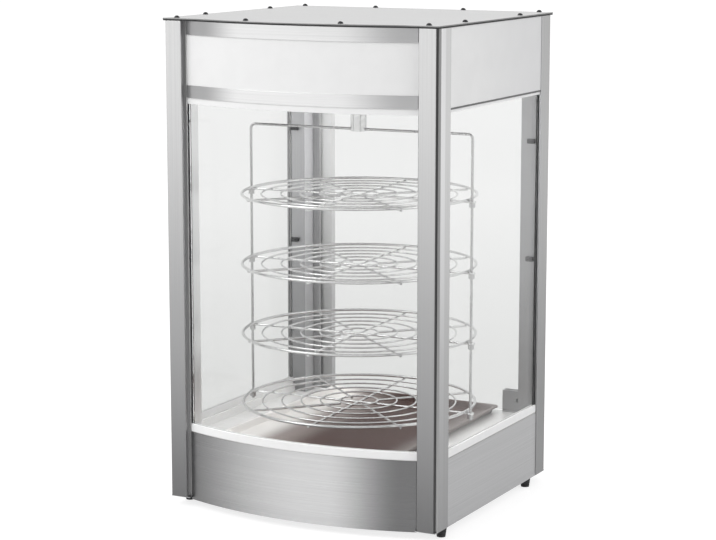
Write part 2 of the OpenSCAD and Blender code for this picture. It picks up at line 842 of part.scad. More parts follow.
module shaft_bush() {
    color("goldenrod") translate([0, axis_y, 0]) difference() {
        union() {
            translate([0, 0, ceiling_z - bush_flange_t])
                cylinder(d = bush_flange_d, h = bush_flange_t);
            translate([0, 0, ceiling_z - 1]) cylinder(d = bush_d, h = drive_z - ceiling_z + 1);
        }
        translate([0, 0, ceiling_z - 10]) cylinder(d = shaft_d + 2 * run_play, h = 40);
    }
}

module drive_shaft() {
    color("lightgray") on_axis() translate([0, 0, shaft_z0])
        cylinder(d = shaft_d, h = drive_z + shaft_in - shaft_z0);
}

module hub() {
    hub_z0 = bar_z - frame_wire_d / 2 - run_play - hub_lip;
    neck_z1 = ceiling_z - bush_flange_t - hub_play;
    color("silver") on_axis() difference() {
        union() {
            translate([0, 0, hub_z0]) cylinder(d = hub_d, h = hub_z1 - hub_z0);
            translate([0, 0, hub_z1 - 1]) cylinder(d = neck_d, h = neck_z1 - hub_z1 + 1);
        }
        translate([0, 0, shaft_z0]) cylinder(d = shaft_d + 2 * run_play, h = cabinet_h);
        translate([-hub_d, 0, bar_z]) rotate([0, 90, 0])
            cylinder(d = frame_wire_d + 2 * run_play, h = 2 * hub_d);
        translate([0, 0, bar_z + hub_screw_up]) rotate([-90, 0, 0])
            cylinder(d = hub_screw_d + 2 * run_play, h = hub_d);
    }
}

module hub_screw() {
    color("black") on_axis() translate([0, shaft_d / 2, bar_z + hub_screw_up]) rotate([-90, 0, 0])
        cylinder(d = hub_screw_d, h = hub_d / 2 - shaft_d / 2 - 1);
}

module frame_bar() {
    color("silver") on_axis() translate([-frame_half + frame_bend, 0, bar_z]) rotate([0, 90, 0])
        cylinder(d = frame_wire_d, h = 2 * (frame_half - frame_bend));
}

function rack_z(i) = deck_z + rack_low + rack_pitch * i;

// Hanging wires with their upper bends, and a collar under each rack's eye
module frame_wires() {
    end_z = rack_z(0) - cross_drop - wire_end;
    bend_z = bar_z - frame_bend;
    color("silver") on_axis() both_sides() {
        translate([frame_half, 0, end_z]) cylinder(d = frame_wire_d, h = bend_z - end_z);
        translate([frame_half - frame_bend, 0, bend_z]) rotate([90, 0, 0])
            rotate_extrude(angle = 90) translate([frame_bend, 0]) circle(d = frame_wire_d);
        for (i = [0:3]) translate([frame_half, 0, rack_z(i) - eye_drop - collar_h])
            cylinder(d = collar_d, h = collar_h);
    }
}

// A torus about the z axis
module wire_ring(r, wire_d) {
    rotate_extrude() translate([r, 0]) circle(d = wire_d);
}

// A round wire rack: outer ring, inner rings, cross wires and an eye round each hanging wire
module rack(i) {
    ring_step = rack_r / (inner_rings + 1);
    ring_up = cross_wire_d / 2 + ring_wire_d / 2 - weld;
    cross_half = frame_half - eye_r;
    color("silver") on_axis() translate([0, 0, rack_z(i)]) {
        wire_ring(rack_r, rim_wire_d);
        translate([0, 0, -cross_drop]) {
            for (k = [1:inner_rings]) translate([0, 0, ring_up])
                wire_ring(ring_step * k, ring_wire_d);
            translate([-cross_half, 0, 0]) rotate([0, 90, 0])
                cylinder(d = cross_wire_d, h = 2 * cross_half);
            translate([0, -rack_r, 0]) rotate([-90, 0, 0])
                cylinder(d = cross_wire_d, h = 2 * rack_r);
            for (a = [45:90:315]) rotate([0, 0, a]) translate([ring_step, 0, 0])
                rotate([0, 90, 0]) cylinder(d = cross_wire_d, h = rack_r - ring_step);
            both_sides() translate([frame_half, 0, 0]) wire_ring(eye_r, cross_wire_d);
        }
    }
}

module door_glass() {
    color("lightcyan", 0.3) difference() {
        translate([door_glass_x0, door_y - glass_t / 2, door_glass_z0])
            cube([door_glass_x1 - door_glass_x0, glass_t, door_glass_z1 - door_glass_z0]);
        at_clamp_screws() {
            rotate([90, 0, 0]) cylinder(d = clamp_screw_d + 4, h = 2 * clamp_t, center = true);
            translate([0, -glass_t, -clamp_screw_d / 2 - 2]) cube([clamp_w, 2 * glass_t, clamp_screw_d + 4]);
        }
        door_ends() translate([clamp_x0 - fit, door_y - glass_t, clamp_z0 - 5])
            cube([clamp_w + 5, 2 * glass_t, 5 + clamp_foot + fit]);
    }
}

// Section of the grip: a slot for the glass and a finger lip behind it
module door_grip() {
    inner_leg = 14;
    wall = 2;
    color("silver") translate([grip_x0, door_y, door_glass_z0])
        linear_extrude(door_glass_z1 - door_glass_z0) polygon([
            [0, -grip_t], [inner_leg, -grip_t], [inner_leg, -slot_half],
            [grip_web, -slot_half], [grip_web, slot_half], [grip_w, slot_half],
            [grip_w, grip_out], [grip_w - grip_lip, grip_out],
            [grip_w - grip_lip, grip_out - wall], [grip_w - wall, grip_out - wall],
            [grip_w - wall, grip_t], [0, grip_t]]);
}

// One clamp at the lower corner of the door glass, its pin hole underneath
module hinge_clamp() {
    difference() {
        translate([clamp_x0, door_y - clamp_t / 2, clamp_z0]) cube([clamp_w, clamp_t, clamp_h]);
        translate([clamp_x0 - 1, door_y - slot_half, clamp_z0 + clamp_foot])
            cube([clamp_w - 1, 2 * slot_half, clamp_h]);
        translate([hinge_x, door_y, clamp_z0 - 1])
            cylinder(d = pin_d + 2 * run_play, h = pin_l + 1.5);
        translate([clamp_screw_x, door_y, clamp_screw_z]) rotate([90, 0, 0])
            cylinder(d = clamp_screw_d + 0.2, h = 2 * clamp_t, center = true);
    }
}

// Draws its children at the bottom of the door and mirrored at its top
module door_ends() {
    for (side = [0, 1]) translate([0, 0, (clamp_z0 + clamp_z1) / 2]) mirror([0, 0, side])
        translate([0, 0, -(clamp_z0 + clamp_z1) / 2]) children();
}

module hinge_clamps() {
    color("gray") door_ends() hinge_clamp();
}

module at_clamp_screws() {
    door_ends() translate([clamp_screw_x, door_y, clamp_screw_z]) children();
}

module clamp_screws() {
    color("black") at_clamp_screws() rotate([90, 0, 0]) {
        cylinder(d = clamp_screw_d, h = clamp_t + 1, center = true);
        translate([0, 0, clamp_t / 2]) cylinder(d = clamp_head_d, h = 1.2);
        translate([0, 0, -clamp_t / 2 - 1.2]) cylinder(d = clamp_head_d, h = 1.2);
    }
}

// Plates with the door's pivot pins, on the deck and under the ceiling
module hinge_brackets() {
    color("gray") door_ends() {
        translate([clamp_x0, door_y - clamp_t / 2, deck_z]) cube([clamp_w, clamp_t, bracket_t]);
        translate([hinge_x, door_y, clamp_z0 - 1.5]) cylinder(d = pin_d, h = pin_l + 1.5);
    }
}

module magnet_catch() {
    catch_y1 = door_y - glass_t / 2 - 1 - fit;
    color("white") translate([catch_x, catch_y1 - catch_d, door_glass_z1 - catch_lap])
        cube([catch_w, catch_d, ceiling_z - door_glass_z1 + catch_lap]);
}

module strike_clip() {
    strike_x = catch_x + (catch_w - strike_w) / 2;
    color("lightgray") translate([strike_x, door_y, door_glass_z1]) difference() {
        translate([0, -glass_t / 2 - 1, -catch_lap]) cube([strike_w, glass_t + 2, catch_lap + 1]);
        translate([-1, -glass_t / 2, -catch_lap - 1]) cube([strike_w + 2, glass_t, catch_lap + 1]);
    }
}

module base_rear_panel() {
    color("silver") difference() {
        rear_panel(post_z0, under_deck - fit);
        for (i = [0:2]) translate([heat_x + rocker_pitch * i, panel_y, control_z])
            cube([housing_w + 0.2, 4 * sheet_t, 2 * housing_half + 0.2], center = true);
        translate([knob_x, panel_y, control_z]) rotate([90, 0, 0])
            cylinder(d = nose_d + 0.2, h = 4 * sheet_t, center = true);
        translate([pilot_x, panel_y, control_z]) rotate([90, 0, 0])
            cylinder(d = pilot_d - 2.8, h = 4 * sheet_t, center = true);
        translate([inlet_x, panel_y, control_z])
            cube([socket_w + 2 * socket_wall + fit, 4 * sheet_t, socket_h + 2 * socket_wall + fit],
                center = true);
    }
}

// Switch bodies behind the rear panel, each with a bezel outside and a well for its rocker
module switch_housings() {
    bezel_half = housing_half + bezel_w;
    well = 2 * rocker_deep;
    color([0.13, 0.13, 0.14]) for (i = [0:2])
        translate([heat_x + rocker_pitch * i, panel_y, control_z]) difference() {
            union() {
                translate([-housing_w / 2, -housing_deep, -housing_half])
                    cube([housing_w, housing_deep + 1, 2 * housing_half]);
                translate([-housing_w / 2 - bezel_w, 0, -bezel_half])
                    cube([housing_w + 2 * bezel_w, bezel_t, 2 * bezel_half]);
            }
            translate([-cavity_w / 2, -well, -cavity_half])
                cube([cavity_w, 2 * well, 2 * cavity_half]);
            translate([0, pivot_y - panel_y, 0]) rotate([0, 90, 0])
                cylinder(d = stub_d + 2 * run_play, h = stub_l + 2 * fit, center = true);
        }
}

// A rocker on its stub axle, pressed at its upper end
module rocker(i) {
    h = rocker_half;
    translate([heat_x + rocker_pitch * i, pivot_y, control_z]) rotate([rocker_tilt, 0, 0])
        rotate([0, 90, 0]) {
            rotate([0, 0, 90]) linear_extrude(rocker_w, center = true) polygon([
                [-rocker_deep, -h / 2], [-rocker_deep, h / 2], [0, h - 0.8], [rocker_out, h],
                [rocker_out - 2, 0], [rocker_out, -h], [0, -h + 0.8]]);
            cylinder(d = stub_d, h = stub_l, center = true);
        }
}

module heat_rocker() {
    color("firebrick") rocker(0);
}

module lamp_rocker() {
    color([0.1, 0.1, 0.1]) rocker(1);
}

module turn_rocker() {
    color([0.1, 0.1, 0.1]) rocker(2);
}

module thermostat() {
    color("gray") translate([knob_x, panel_y, control_z]) difference() {
        union() {
            translate([-thermostat_w / 2, -sheet_t - thermostat_deep, -thermostat_w / 2])
                cube([thermostat_w, thermostat_deep, thermostat_w]);
            rotate([90, 0, 0]) translate([0, 0, -dial_t]) cylinder(d = nose_d, h = dial_t + sheet_t + 1);
        }
        rotate([90, 0, 0]) translate([0, 0, -2]) cylinder(d = spindle_d + 2 * run_play, h = 12);
    }
}

module thermostat_shaft() {
    into_knob = knob_h - 3;
    color("lightgray") translate([knob_x, knob_y + into_knob, control_z]) rotate([90, 0, 0])
        cylinder(d = spindle_d, h = into_knob + knob_y - panel_y + 9);
}

// Round knob with a skirt and a grip bar across it
module thermostat_knob() {
    bar_h = knob_h - skirt_h + 1;
    bar_w = spindle_d + 4;
    color([0.1, 0.1, 0.1]) translate([knob_x, knob_y, control_z]) rotate([-90, 0, 0])
        difference() {
            union() {
                cylinder(d1 = knob_d, d2 = knob_d - 3, h = skirt_h);
                translate([0, 0, skirt_h - 1]) intersection() {
                    cylinder(d = knob_d - 5, h = bar_h);
                    translate([-bar_w / 2, -knob_d, 0]) cube([bar_w, 2 * knob_d, bar_h]);
                }
            }
            translate([0, 0, -1]) cylinder(d = spindle_d + 2 * run_play, h = knob_h - 1.5);
        }
}

module dial_plate() {
    color("white") translate([knob_x, panel_y, control_z]) rotate([-90, 0, 0]) difference() {
        cylinder(d = dial_d, h = dial_t);
        translate([0, 0, -1]) cylinder(d = nose_d + 0.2, h = dial_t + 2);
    }
}

module pilot_lamp() {
    color("orange") translate([pilot_x, panel_y, control_z]) rotate([-90, 0, 0]) {
        translate([0, 0, -16]) cylinder(d = pilot_d - 3, h = 17);
        cylinder(d1 = pilot_d, d2 = pilot_d - 4, h = 3.5);
    }
}

// Socket for a mains lead: flange, shell and three flat pins
module power_inlet() {
    inlet_t = 2.5;
    shell_w = socket_w + 2 * socket_wall;
    shell_h = socket_h + 2 * socket_wall;
    color([0.12, 0.12, 0.13]) translate([inlet_x, panel_y, control_z]) {
        difference() {
            union() {
                translate([-inlet_w / 2, 0, -inlet_h / 2]) cube([inlet_w, inlet_t, inlet_h]);
                translate([-shell_w / 2, -socket_deep - 6, -shell_h / 2])
                    cube([shell_w, socket_deep + 7, shell_h]);
            }
            translate([-socket_w / 2, -socket_deep, -socket_h / 2])
                cube([socket_w, 2 * socket_deep, socket_h]);
        }
        for (p = [[-7, -2], [0, 2], [7, -2]])
            translate([p[0] - 1, -socket_deep - 1, p[1] - 2.5]) cube([2, socket_deep - 1, 5]);
    }
}

// U-shaped sheathed element under the deck
module heating_element() {
    color("dimgray") translate([0, element_front_y, element_z]) {
        both_sides() translate([element_half, 0, 0]) rotate([-90, 0, 0])
            cylinder(d = element_d, h = element_l);
        rotate([0, 0, 180]) rotate_extrude(angle = 180) translate([element_half, 0]) circle(d = element_d);
    }
}

// Saddles that hang the element from the deck
module element_brackets() {
    low_z = element_z - element_d / 2 - 3;
    color("gray") for (y = [element_front_y + saddle_in, element_front_y + element_l - saddle_in - saddle_w])
        both_sides() difference() {
            translate([element_half - element_d / 2 - 4, y, low_z])
                cube([element_d + 8, saddle_w, under_deck - low_z]);
            translate([element_half, y - 1, element_z]) rotate([-90, 0, 0])
                cylinder(d = element_d + 2 * run_play, h = saddle_w + 2);
        }
}

module sensor_bulb() {
    color("goldenrod") translate([0, mid_y - 30, under_deck - fit - bulb_d / 2])
        rotate([-90, 0, 0]) cylinder(d = bulb_d, h = bulb_l);
}

module terminal_block() {
    pole = block_w / 4;
    color("ivory") translate([element_half - 10, mid_y + block_back, post_z0]) difference() {
        cube([block_w, block_d, block_h]);
        for (i = [0:3]) translate([pole * (i + 0.5), block_d / 2, block_h / 2])
            cylinder(d = pole / 2, h = block_h);
    }
}

bottom_plate();
rubber_feet();
hidden_screws();
front_posts();
rear_posts();
base_front_panel();
base_side_panels();
base_rear_panel();
floor_deck();
crumb_pan();
lower_rails();
upper_rails();
front_glass();
side_glasses();
glass_seals();
glass_clips();
header_front_panel();
upper_band();
lower_band();
header_side_panels();
header_rear_panel();
ceiling_plate();
top_seal();
top_plate();
top_screws();
lamp_tube();
lamp_holders();
gear_motor();
motor_plate();
shaft_bush();
drive_shaft();
hub();
hub_screw();
frame_bar();
frame_wires();
rack(0);  // rack_1
rack(1);  // rack_2
rack(2);  // rack_3
rack(3);  // rack_4
door_glass();
door_grip();
hinge_clamps();
clamp_screws();
hinge_brackets();
magnet_catch();
strike_clip();
switch_housings();
heat_rocker();
lamp_rocker();
turn_rocker();
thermostat();
thermostat_shaft();
thermostat_knob();
dial_plate();
pilot_lamp();
power_inlet();
heating_element();
element_brackets();
sensor_bulb();
terminal_block();
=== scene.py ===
import bpy
import math
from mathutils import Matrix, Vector


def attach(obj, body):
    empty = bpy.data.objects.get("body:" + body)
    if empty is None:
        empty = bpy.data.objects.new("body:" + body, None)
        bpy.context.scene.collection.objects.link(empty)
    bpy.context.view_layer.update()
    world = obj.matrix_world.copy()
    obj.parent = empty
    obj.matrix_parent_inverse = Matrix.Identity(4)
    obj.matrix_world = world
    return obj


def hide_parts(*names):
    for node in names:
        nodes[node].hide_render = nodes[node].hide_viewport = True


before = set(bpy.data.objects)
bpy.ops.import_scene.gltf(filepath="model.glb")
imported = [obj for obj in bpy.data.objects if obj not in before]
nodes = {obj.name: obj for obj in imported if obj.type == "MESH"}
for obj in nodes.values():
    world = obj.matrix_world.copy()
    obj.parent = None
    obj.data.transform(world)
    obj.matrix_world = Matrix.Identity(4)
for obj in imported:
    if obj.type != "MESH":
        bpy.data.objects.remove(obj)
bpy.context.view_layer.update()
print("frame loaded:", len(nodes), "nodes")

# Camera, lamps, world and floor

camera = {
    "place": (1.6585, -3.1634, 1.0015),
    "turn": 27.704,  # degrees about the vertical
    "tip": 9.828,  # degrees below level
    "lens": 109.42,
    "sensor": 36.0,
    "clip": (0.05, 300.0),
}
lamps = {
    "keyLamp": {"place": (-2.4, -3.0, 3.0), "size": 2.6, "watts": 69.0},
    "sideLamp": {"place": (3.6, 0.4, 1.8), "size": 2.2, "watts": 17.5},
    "rearLamp": {"place": (-1.2, 3.4, 2.6), "size": 2.6, "watts": 12.0},
    "displayLamp": {"place": (0.0, -0.02, 0.715), "size": 0.3, "watts": 2.2},
}
lampAim = (0.0, 0.0, 0.42)  # all lamps point at the middle of the cabinet
world = {
    "room": 0.94,  # light on all that isn't a mirror
    "front": 0.50,  # what metal mirrors in front of the cabinet
    "back": 0.86,  # and behind it
    "between": (-1.0, 0.2),  # directions along Y between which it changes
}
floor = {"size": 120.0, "tone": 0.4, "glow": 0.71}
white = (1.0, 1.0, 1.0, 1.0)


def wire(tree, *links):
    for start, end in links:
        tree.links.new(start, end)


def mathNode(tree, operation, *values):
    node = tree.nodes.new("ShaderNodeMath")
    node.operation = operation
    for socket, value in zip(node.inputs, values):
        if isinstance(value, (int, float)):
            socket.default_value = value
        else:
            tree.links.new(value, socket)
    return node.outputs[0]


def addCamera():
    data = bpy.data.cameras.new("camera")
    data.lens = camera["lens"]
    data.sensor_width = camera["sensor"]
    data.sensor_fit = "HORIZONTAL"
    data.clip_start, data.clip_end = camera["clip"]
    eye = bpy.data.objects.new("camera", data)
    eye.location = camera["place"]
    eye.rotation_euler = (math.radians(90 - camera["tip"]), 0, math.radians(camera["turn"]))
    bpy.context.scene.collection.objects.link(eye)
    bpy.context.scene.camera = eye


def addLamps():
    for name, lamp in lamps.items():
        data = bpy.data.lights.new(name, "AREA")
        data.shape = "SQUARE"
        data.size = lamp["size"]
        data.energy = lamp["watts"]
        holder = bpy.data.objects.new(name, data)
        holder.location = lamp["place"]
        holder.visible_camera = False
        holder.visible_glossy = name != "displayLamp"  # the wires would mirror it
        aim = Vector(lampAim) - holder.location
        holder.rotation_euler = aim.to_track_quat("-Z", "Y").to_euler()
        bpy.context.scene.collection.objects.link(holder)


# The camera and what looks through the glass see plain white, metal mirrors a room that is dimmer
# in front, and the rest gets an even light
def addWorld():
    room = bpy.data.worlds.new("room")
    bpy.context.scene.world = room
    room.use_nodes = True
    tree = room.node_tree
    tree.nodes.clear()
    out = tree.nodes.new("ShaderNodeOutputWorld")
    path = tree.nodes.new("ShaderNodeLightPath")
    where = tree.nodes.new("ShaderNodeTexCoord")
    split = tree.nodes.new("ShaderNodeSeparateXYZ")
    dim = tree.nodes.new("ShaderNodeMapRange")
    dim.interpolation_type = "SMOOTHSTEP"
    dim.inputs["From Min"].default_value, dim.inputs["From Max"].default_value = world["between"]
    dim.inputs["To Min"].default_value = world["front"]
    dim.inputs["To Max"].default_value = world["back"]
    plain = tree.nodes.new("ShaderNodeBackground")
    plain.inputs["Strength"].default_value = world["room"]
    gloss = tree.nodes.new("ShaderNodeBackground")
    shown = tree.nodes.new("ShaderNodeBackground")
    for light in (plain, gloss, shown):
        light.inputs["Color"].default_value = white
    mixGloss = tree.nodes.new("ShaderNodeMixShader")
    mixShown = tree.nodes.new("ShaderNodeMixShader")
    seen = mathNode(tree, "MAXIMUM", path.outputs["Is Camera Ray"], path.outputs["Is Transmission Ray"])
    wire(tree,
         (where.outputs["Generated"], split.inputs[0]),
         (split.outputs["Y"], dim.inputs["Value"]),
         (dim.outputs[0], gloss.inputs["Strength"]),
         (path.outputs["Is Glossy Ray"], mixGloss.inputs[0]),
         (plain.outputs[0], mixGloss.inputs[1]),
         (gloss.outputs[0], mixGloss.inputs[2]),
         (seen, mixShown.inputs[0]),
         (mixGloss.outputs[0], mixShown.inputs[1]),
         (shown.outputs[0], mixShown.inputs[2]),
         (mixShown.outputs[0], out.inputs["Surface"]))


# The floor glows for the rays that show it, so that it's white where no shadow falls
def addFloor():
    bpy.ops.object.select_all(action="DESELECT")
    bpy.ops.mesh.primitive_plane_add(size=floor["size"], location=(0, 0, 0))
    ground = bpy.context.active_object
    ground.name = "floor"
    material = bpy.data.materials.new("paleFloor")
    material.use_nodes = True
    tree = material.node_tree
    tree.nodes.clear()
    out = tree.nodes.new("ShaderNodeOutputMaterial")
    matte = tree.nodes.new("ShaderNodeBsdfDiffuse")
    matte.inputs["Color"].default_value = (floor["tone"],) * 3 + (1,)
    glow = tree.nodes.new("ShaderNodeEmission")
    path = tree.nodes.new("ShaderNodeLightPath")
    both = tree.nodes.new("ShaderNodeAddShader")
    seen = mathNode(tree, "MAXIMUM", path.outputs["Is Camera Ray"], path.outputs["Is Transmission Ray"])
    shown = mathNode(tree, "MAXIMUM", seen, path.outputs["Is Glossy Ray"])
    wire(tree,
         (mathNode(tree, "MULTIPLY", shown, floor["glow"]), glow.inputs["Strength"]),
         (matte.outputs[0], both.inputs[0]),
         (glow.outputs[0], both.inputs[1]),
         (both.outputs[0], out.inputs["Surface"]))
    ground.data.materials.append(material)


bpy.context.scene.view_settings.view_transform = "Standard"
addCamera()
addLamps()
addWorld()
addFloor()
print("camera, lamps, world and floor ready")

# Surface effects shared by the finishes: each group gives a mask from 0 to 1

noiseEnds = {"grain": (0.3, 0.7), "drift": (0.35, 0.65)}  # the noise that becomes 0, and 1


def effectGroup(name, inputs, output):
    group = bpy.data.node_groups.new(name, "ShaderNodeTree")
    for label, kind, value in inputs:
        socket = group.interface.new_socket(label, in_out="INPUT", socket_type=kind)
        socket.default_value = value
    group.interface.new_socket(output, in_out="OUTPUT", socket_type="NodeSocketFloat")
    return group, group.nodes.new("NodeGroupInput"), group.nodes.new("NodeGroupOutput")


def spreadNode(group, low, high, smooth=False):
    node = group.nodes.new("ShaderNodeMapRange")
    if smooth:
        node.interpolation_type = "SMOOTHSTEP"
    for label, value in (("From Min", low), ("From Max", high)):
        if isinstance(value, (int, float)):
            node.inputs[label].default_value = value
        else:
            group.links.new(value, node.inputs[label])
    return node


# Fine lines along the direction in which Stretch is small
def brushedGrain():
    group, ins, out = effectGroup("brushedGrain", [
        ("Stretch", "NodeSocketVector", (3.0, 3.0, 900.0)),
        ("Detail", "NodeSocketFloat", 3.0),
    ], "Grain")
    where = group.nodes.new("ShaderNodeTexCoord")
    scale = group.nodes.new("ShaderNodeVectorMath")
    scale.operation = "MULTIPLY"
    noise = group.nodes.new("ShaderNodeTexNoise")
    noise.inputs["Scale"].default_value = 1.0
    spread = spreadNode(group, *noiseEnds["grain"])
    wire(group,
         (where.outputs["Object"], scale.inputs[0]),
         (ins.outputs["Stretch"], scale.inputs[1]),
         (scale.outputs[0], noise.inputs["Vector"]),
         (ins.outputs["Detail"], noise.inputs["Detail"]),
         (noise.outputs[0], spread.inputs["Value"]),
         (spread.outputs[0], out.inputs[0]))
    return group


# Slow, cloudy change
def toneDrift():
    group, ins, out = effectGroup("toneDrift", [("Scale", "NodeSocketFloat", 6.0)], "Drift")
    where = group.nodes.new("ShaderNodeTexCoord")
    noise = group.nodes.new("ShaderNodeTexNoise")
    noise.inputs["Detail"].default_value = 2.0
    spread = spreadNode(group, *noiseEnds["drift"])
    wire(group,
         (where.outputs["Object"], noise.inputs["Vector"]),
         (ins.outputs["Scale"], noise.inputs["Scale"]),
         (noise.outputs[0], spread.inputs["Value"]),
         (spread.outputs[0], out.inputs[0]))
    return group


# From 0 to 1 between Start and End, measured along Axis
def placeFade():
    group, ins, out = effectGroup("placeFade", [
        ("Axis", "NodeSocketVector", (0.0, 0.0, 1.0)),
        ("Start", "NodeSocketFloat", 0.0),
        ("End", "NodeSocketFloat", 0.8),
    ], "Fade")
    where = group.nodes.new("ShaderNodeTexCoord")
    along = group.nodes.new("ShaderNodeVectorMath")
    along.operation = "DOT_PRODUCT"
    spread = spreadNode(group, ins.outputs["Start"], ins.outputs["End"], smooth=True)
    wire(group,
         (where.outputs["Object"], along.inputs[0]),
         (ins.outputs["Axis"], along.inputs[1]),
         (along.outputs["Value"], spread.inputs["Value"]),
         (spread.outputs[0], out.inputs[0]))
    return group


effects = {"grain": brushedGrain(), "drift": toneDrift(), "fade": placeFade()}
upward = (0.0, 0.0, 1.0)
rightward = (1.0, 0.0, 0.0)
backward = (0.0, 1.0, 0.0)


def newFinish(name, color, metallic=0.0, roughness=0.5):
    material = bpy.data.materials.new(name)
    material.use_nodes = True
    tree = material.node_tree
    shader = tree.nodes["Principled BSDF"]
    shader.inputs["Base Color"].default_value = (*color, 1.0)
    shader.inputs["Metallic"].default_value = metallic
    shader.inputs["Roughness"].default_value = roughness
    return {"material": material, "tree": tree, "shader": shader, "color": (*color, 1.0), "tinted": None}


def effect(finish, name, **values):
    node = finish["tree"].nodes.new("ShaderNodeGroup")
    node.node_tree = effects[name]
    for label, value in values.items():
        node.inputs[label].default_value = value
    return node.outputs[0]


mixFirst, mixSecond, mixResult = 6, 7, 2  # the colour sockets of a Mix node


# Moves the base colour towards another one where the mask is 1
def tint(finish, mask, color, strength=1.0):
    tree = finish["tree"]
    mix = tree.nodes.new("ShaderNodeMix")
    mix.data_type = "RGBA"
    tree.links.new(mathNode(tree, "MULTIPLY", mask, strength), mix.inputs["Factor"])
    if finish["tinted"] is None:
        mix.inputs[mixFirst].default_value = finish["color"]
    else:
        tree.links.new(finish["tinted"], mix.inputs[mixFirst])
    mix.inputs[mixSecond].default_value = (*color, 1.0)
    finish["tinted"] = mix.outputs[mixResult]
    tree.links.new(finish["tinted"], finish["shader"].inputs["Base Color"])


def varyRoughness(finish, mask, low, high):
    spread = finish["tree"].nodes.new("ShaderNodeMapRange")
    spread.inputs["To Min"].default_value = low
    spread.inputs["To Max"].default_value = high
    wire(finish["tree"],
         (mask, spread.inputs["Value"]),
         (spread.outputs[0], finish["shader"].inputs["Roughness"]))


def relief(finish, mask, depth):
    bump = finish["tree"].nodes.new("ShaderNodeBump")
    bump.inputs["Distance"].default_value = depth
    wire(finish["tree"],
         (mask, bump.inputs["Height"]),
         (bump.outputs[0], finish["shader"].inputs["Normal"]))


# Fine lines in two tones, with the roughness between low and high
def brushedMetal(name, dark, light, stretch, low, high, depth=0.00001, metallic=1.0):
    finish = newFinish(name, light, metallic)
    grain = effect(finish, "grain", Stretch=stretch)
    tint(finish, grain, dark)
    varyRoughness(finish, grain, low, high)
    relief(finish, grain, depth)
    return finish


fineRelief = 12  # a surface's bumps are this much finer than its clouds


# One colour with faint clouds, cloud being how dark they get, and bumps where a depth is given
def plainSurface(name, color, scale, low, high, depth=0.0, metallic=0.0, cloud=0.9):
    finish = newFinish(name, color, metallic)
    drift = effect(finish, "drift", Scale=scale)
    tint(finish, drift, tuple(cloud * part for part in color))
    varyRoughness(finish, drift, low, high)
    if depth:
        relief(finish, effect(finish, "drift", Scale=fineRelief * scale), depth)
    return finish


glass = {
    "index": 1.2,  # low, so that it shines little
    # the tone darkens downwards between these heights: painted shade
    "tone": (0.70, 0.12),  # heights between which the tone changes
    "patches": 9.0,
    "blur": 0.015,
}


# Glass whose tone changes from high to low downwards as painted shade, and that lets light in without a
# shadow
def clearGlass(name, high, low):
    finish = newFinish(name, high, 0.0, 0.0)
    start, end = glass["tone"]
    tint(finish, effect(finish, "fade", Axis=upward, Start=start, End=end), low)
    varyRoughness(finish, effect(finish, "drift", Scale=glass["patches"]), 0.0, glass["blur"])
    finish["shader"].inputs["Transmission Weight"].default_value = 1.0
    finish["shader"].inputs["IOR"].default_value = glass["index"]
    tree = finish["tree"]
    clear = tree.nodes.new("ShaderNodeBsdfTransparent")
    path = tree.nodes.new("ShaderNodeLightPath")
    mix = tree.nodes.new("ShaderNodeMixShader")
    unseen = mathNode(tree, "MAXIMUM", path.outputs["Is Shadow Ray"], path.outputs["Is Diffuse Ray"])
    wire(tree,
         (unseen, mix.inputs[0]),
         (finish["shader"].outputs[0], mix.inputs[1]),
         (clear.outputs[0], mix.inputs[2]),
         (mix.outputs[0], tree.nodes["Material Output"].inputs["Surface"]))
    return finish


coolShade = 1.01  # blue against red in a painted fade


# Adds painted light and shade as soft changes of tone, each given as axis, start, end, grey and strength
def fades(finish, *stops):
    for axis, start, end, grey, strength in stops:
        mask = effect(finish, "fade", Axis=axis, Start=start, End=end)
        tint(finish, mask, (grey, grey, coolShade * grey), strength)
    return finish


# Stretches of the grain, for lines along the height, around the cabinet, and along X
lengthwise = (1400.0, 1400.0, 3.0)
crosswise = (3.0, 3.0, 2600.0)
acrossPlate = (3.0, 1200.0, 1200.0)

# Post strips: brushed grain, with painted shade that darkens them towards the bottom
postMetal = fades(
    brushedMetal("postMetal", (0.64, 0.64, 0.64), (0.72, 0.72, 0.72), lengthwise, 0.34, 0.46),
    (upward, 0.80, 0.20, 0.33, 1.0), (upward, 0.30, -0.04, 0.155, 1.0))
# Front posts' outer sides: a darker copy of the post metal as painted shade, with a painted highlight along
# the front edge and painted shade towards the bottom
postSide = fades(
    brushedMetal("postSide", (0.53, 0.53, 0.53), (0.61, 0.61, 0.61), lengthwise, 0.34, 0.46),
    (backward, -0.184, -0.188, 0.80, 0.5), (upward, 0.70, 0.02, 0.23, 0.9))
# Rear posts' outer sides: a darker copy of the post metal as painted shade, darker still towards the bottom
rearPostSide = fades(
    brushedMetal("rearPostSide", (0.38, 0.38, 0.38), (0.45, 0.45, 0.45), lengthwise, 0.34, 0.46),
    (upward, 0.62, 0.10, 0.21, 0.9))
# Darker copies of the post metal for its beads, its steps and the groove side of its steps: painted shade
# in the corners and recesses
beadShade = brushedMetal("beadShade", (0.26, 0.26, 0.26), (0.34, 0.34, 0.34), lengthwise, 0.3, 0.4)
stepShade = brushedMetal("stepShade", (0.40, 0.40, 0.405), (0.50, 0.50, 0.505), lengthwise, 0.35, 0.45)
grooveShade = brushedMetal("grooveShade", (0.05, 0.05, 0.05), (0.08, 0.08, 0.08), lengthwise, 0.4, 0.5)
# Rear posts' faces towards the front: a darker copy of the post metal as painted shade, darker towards the
# bottom
rearFace = fades(
    brushedMetal("rearFace", (0.44, 0.44, 0.45), (0.50, 0.50, 0.51), lengthwise, 0.34, 0.46),
    (upward, 0.62, 0.10, 0.26, 0.8))
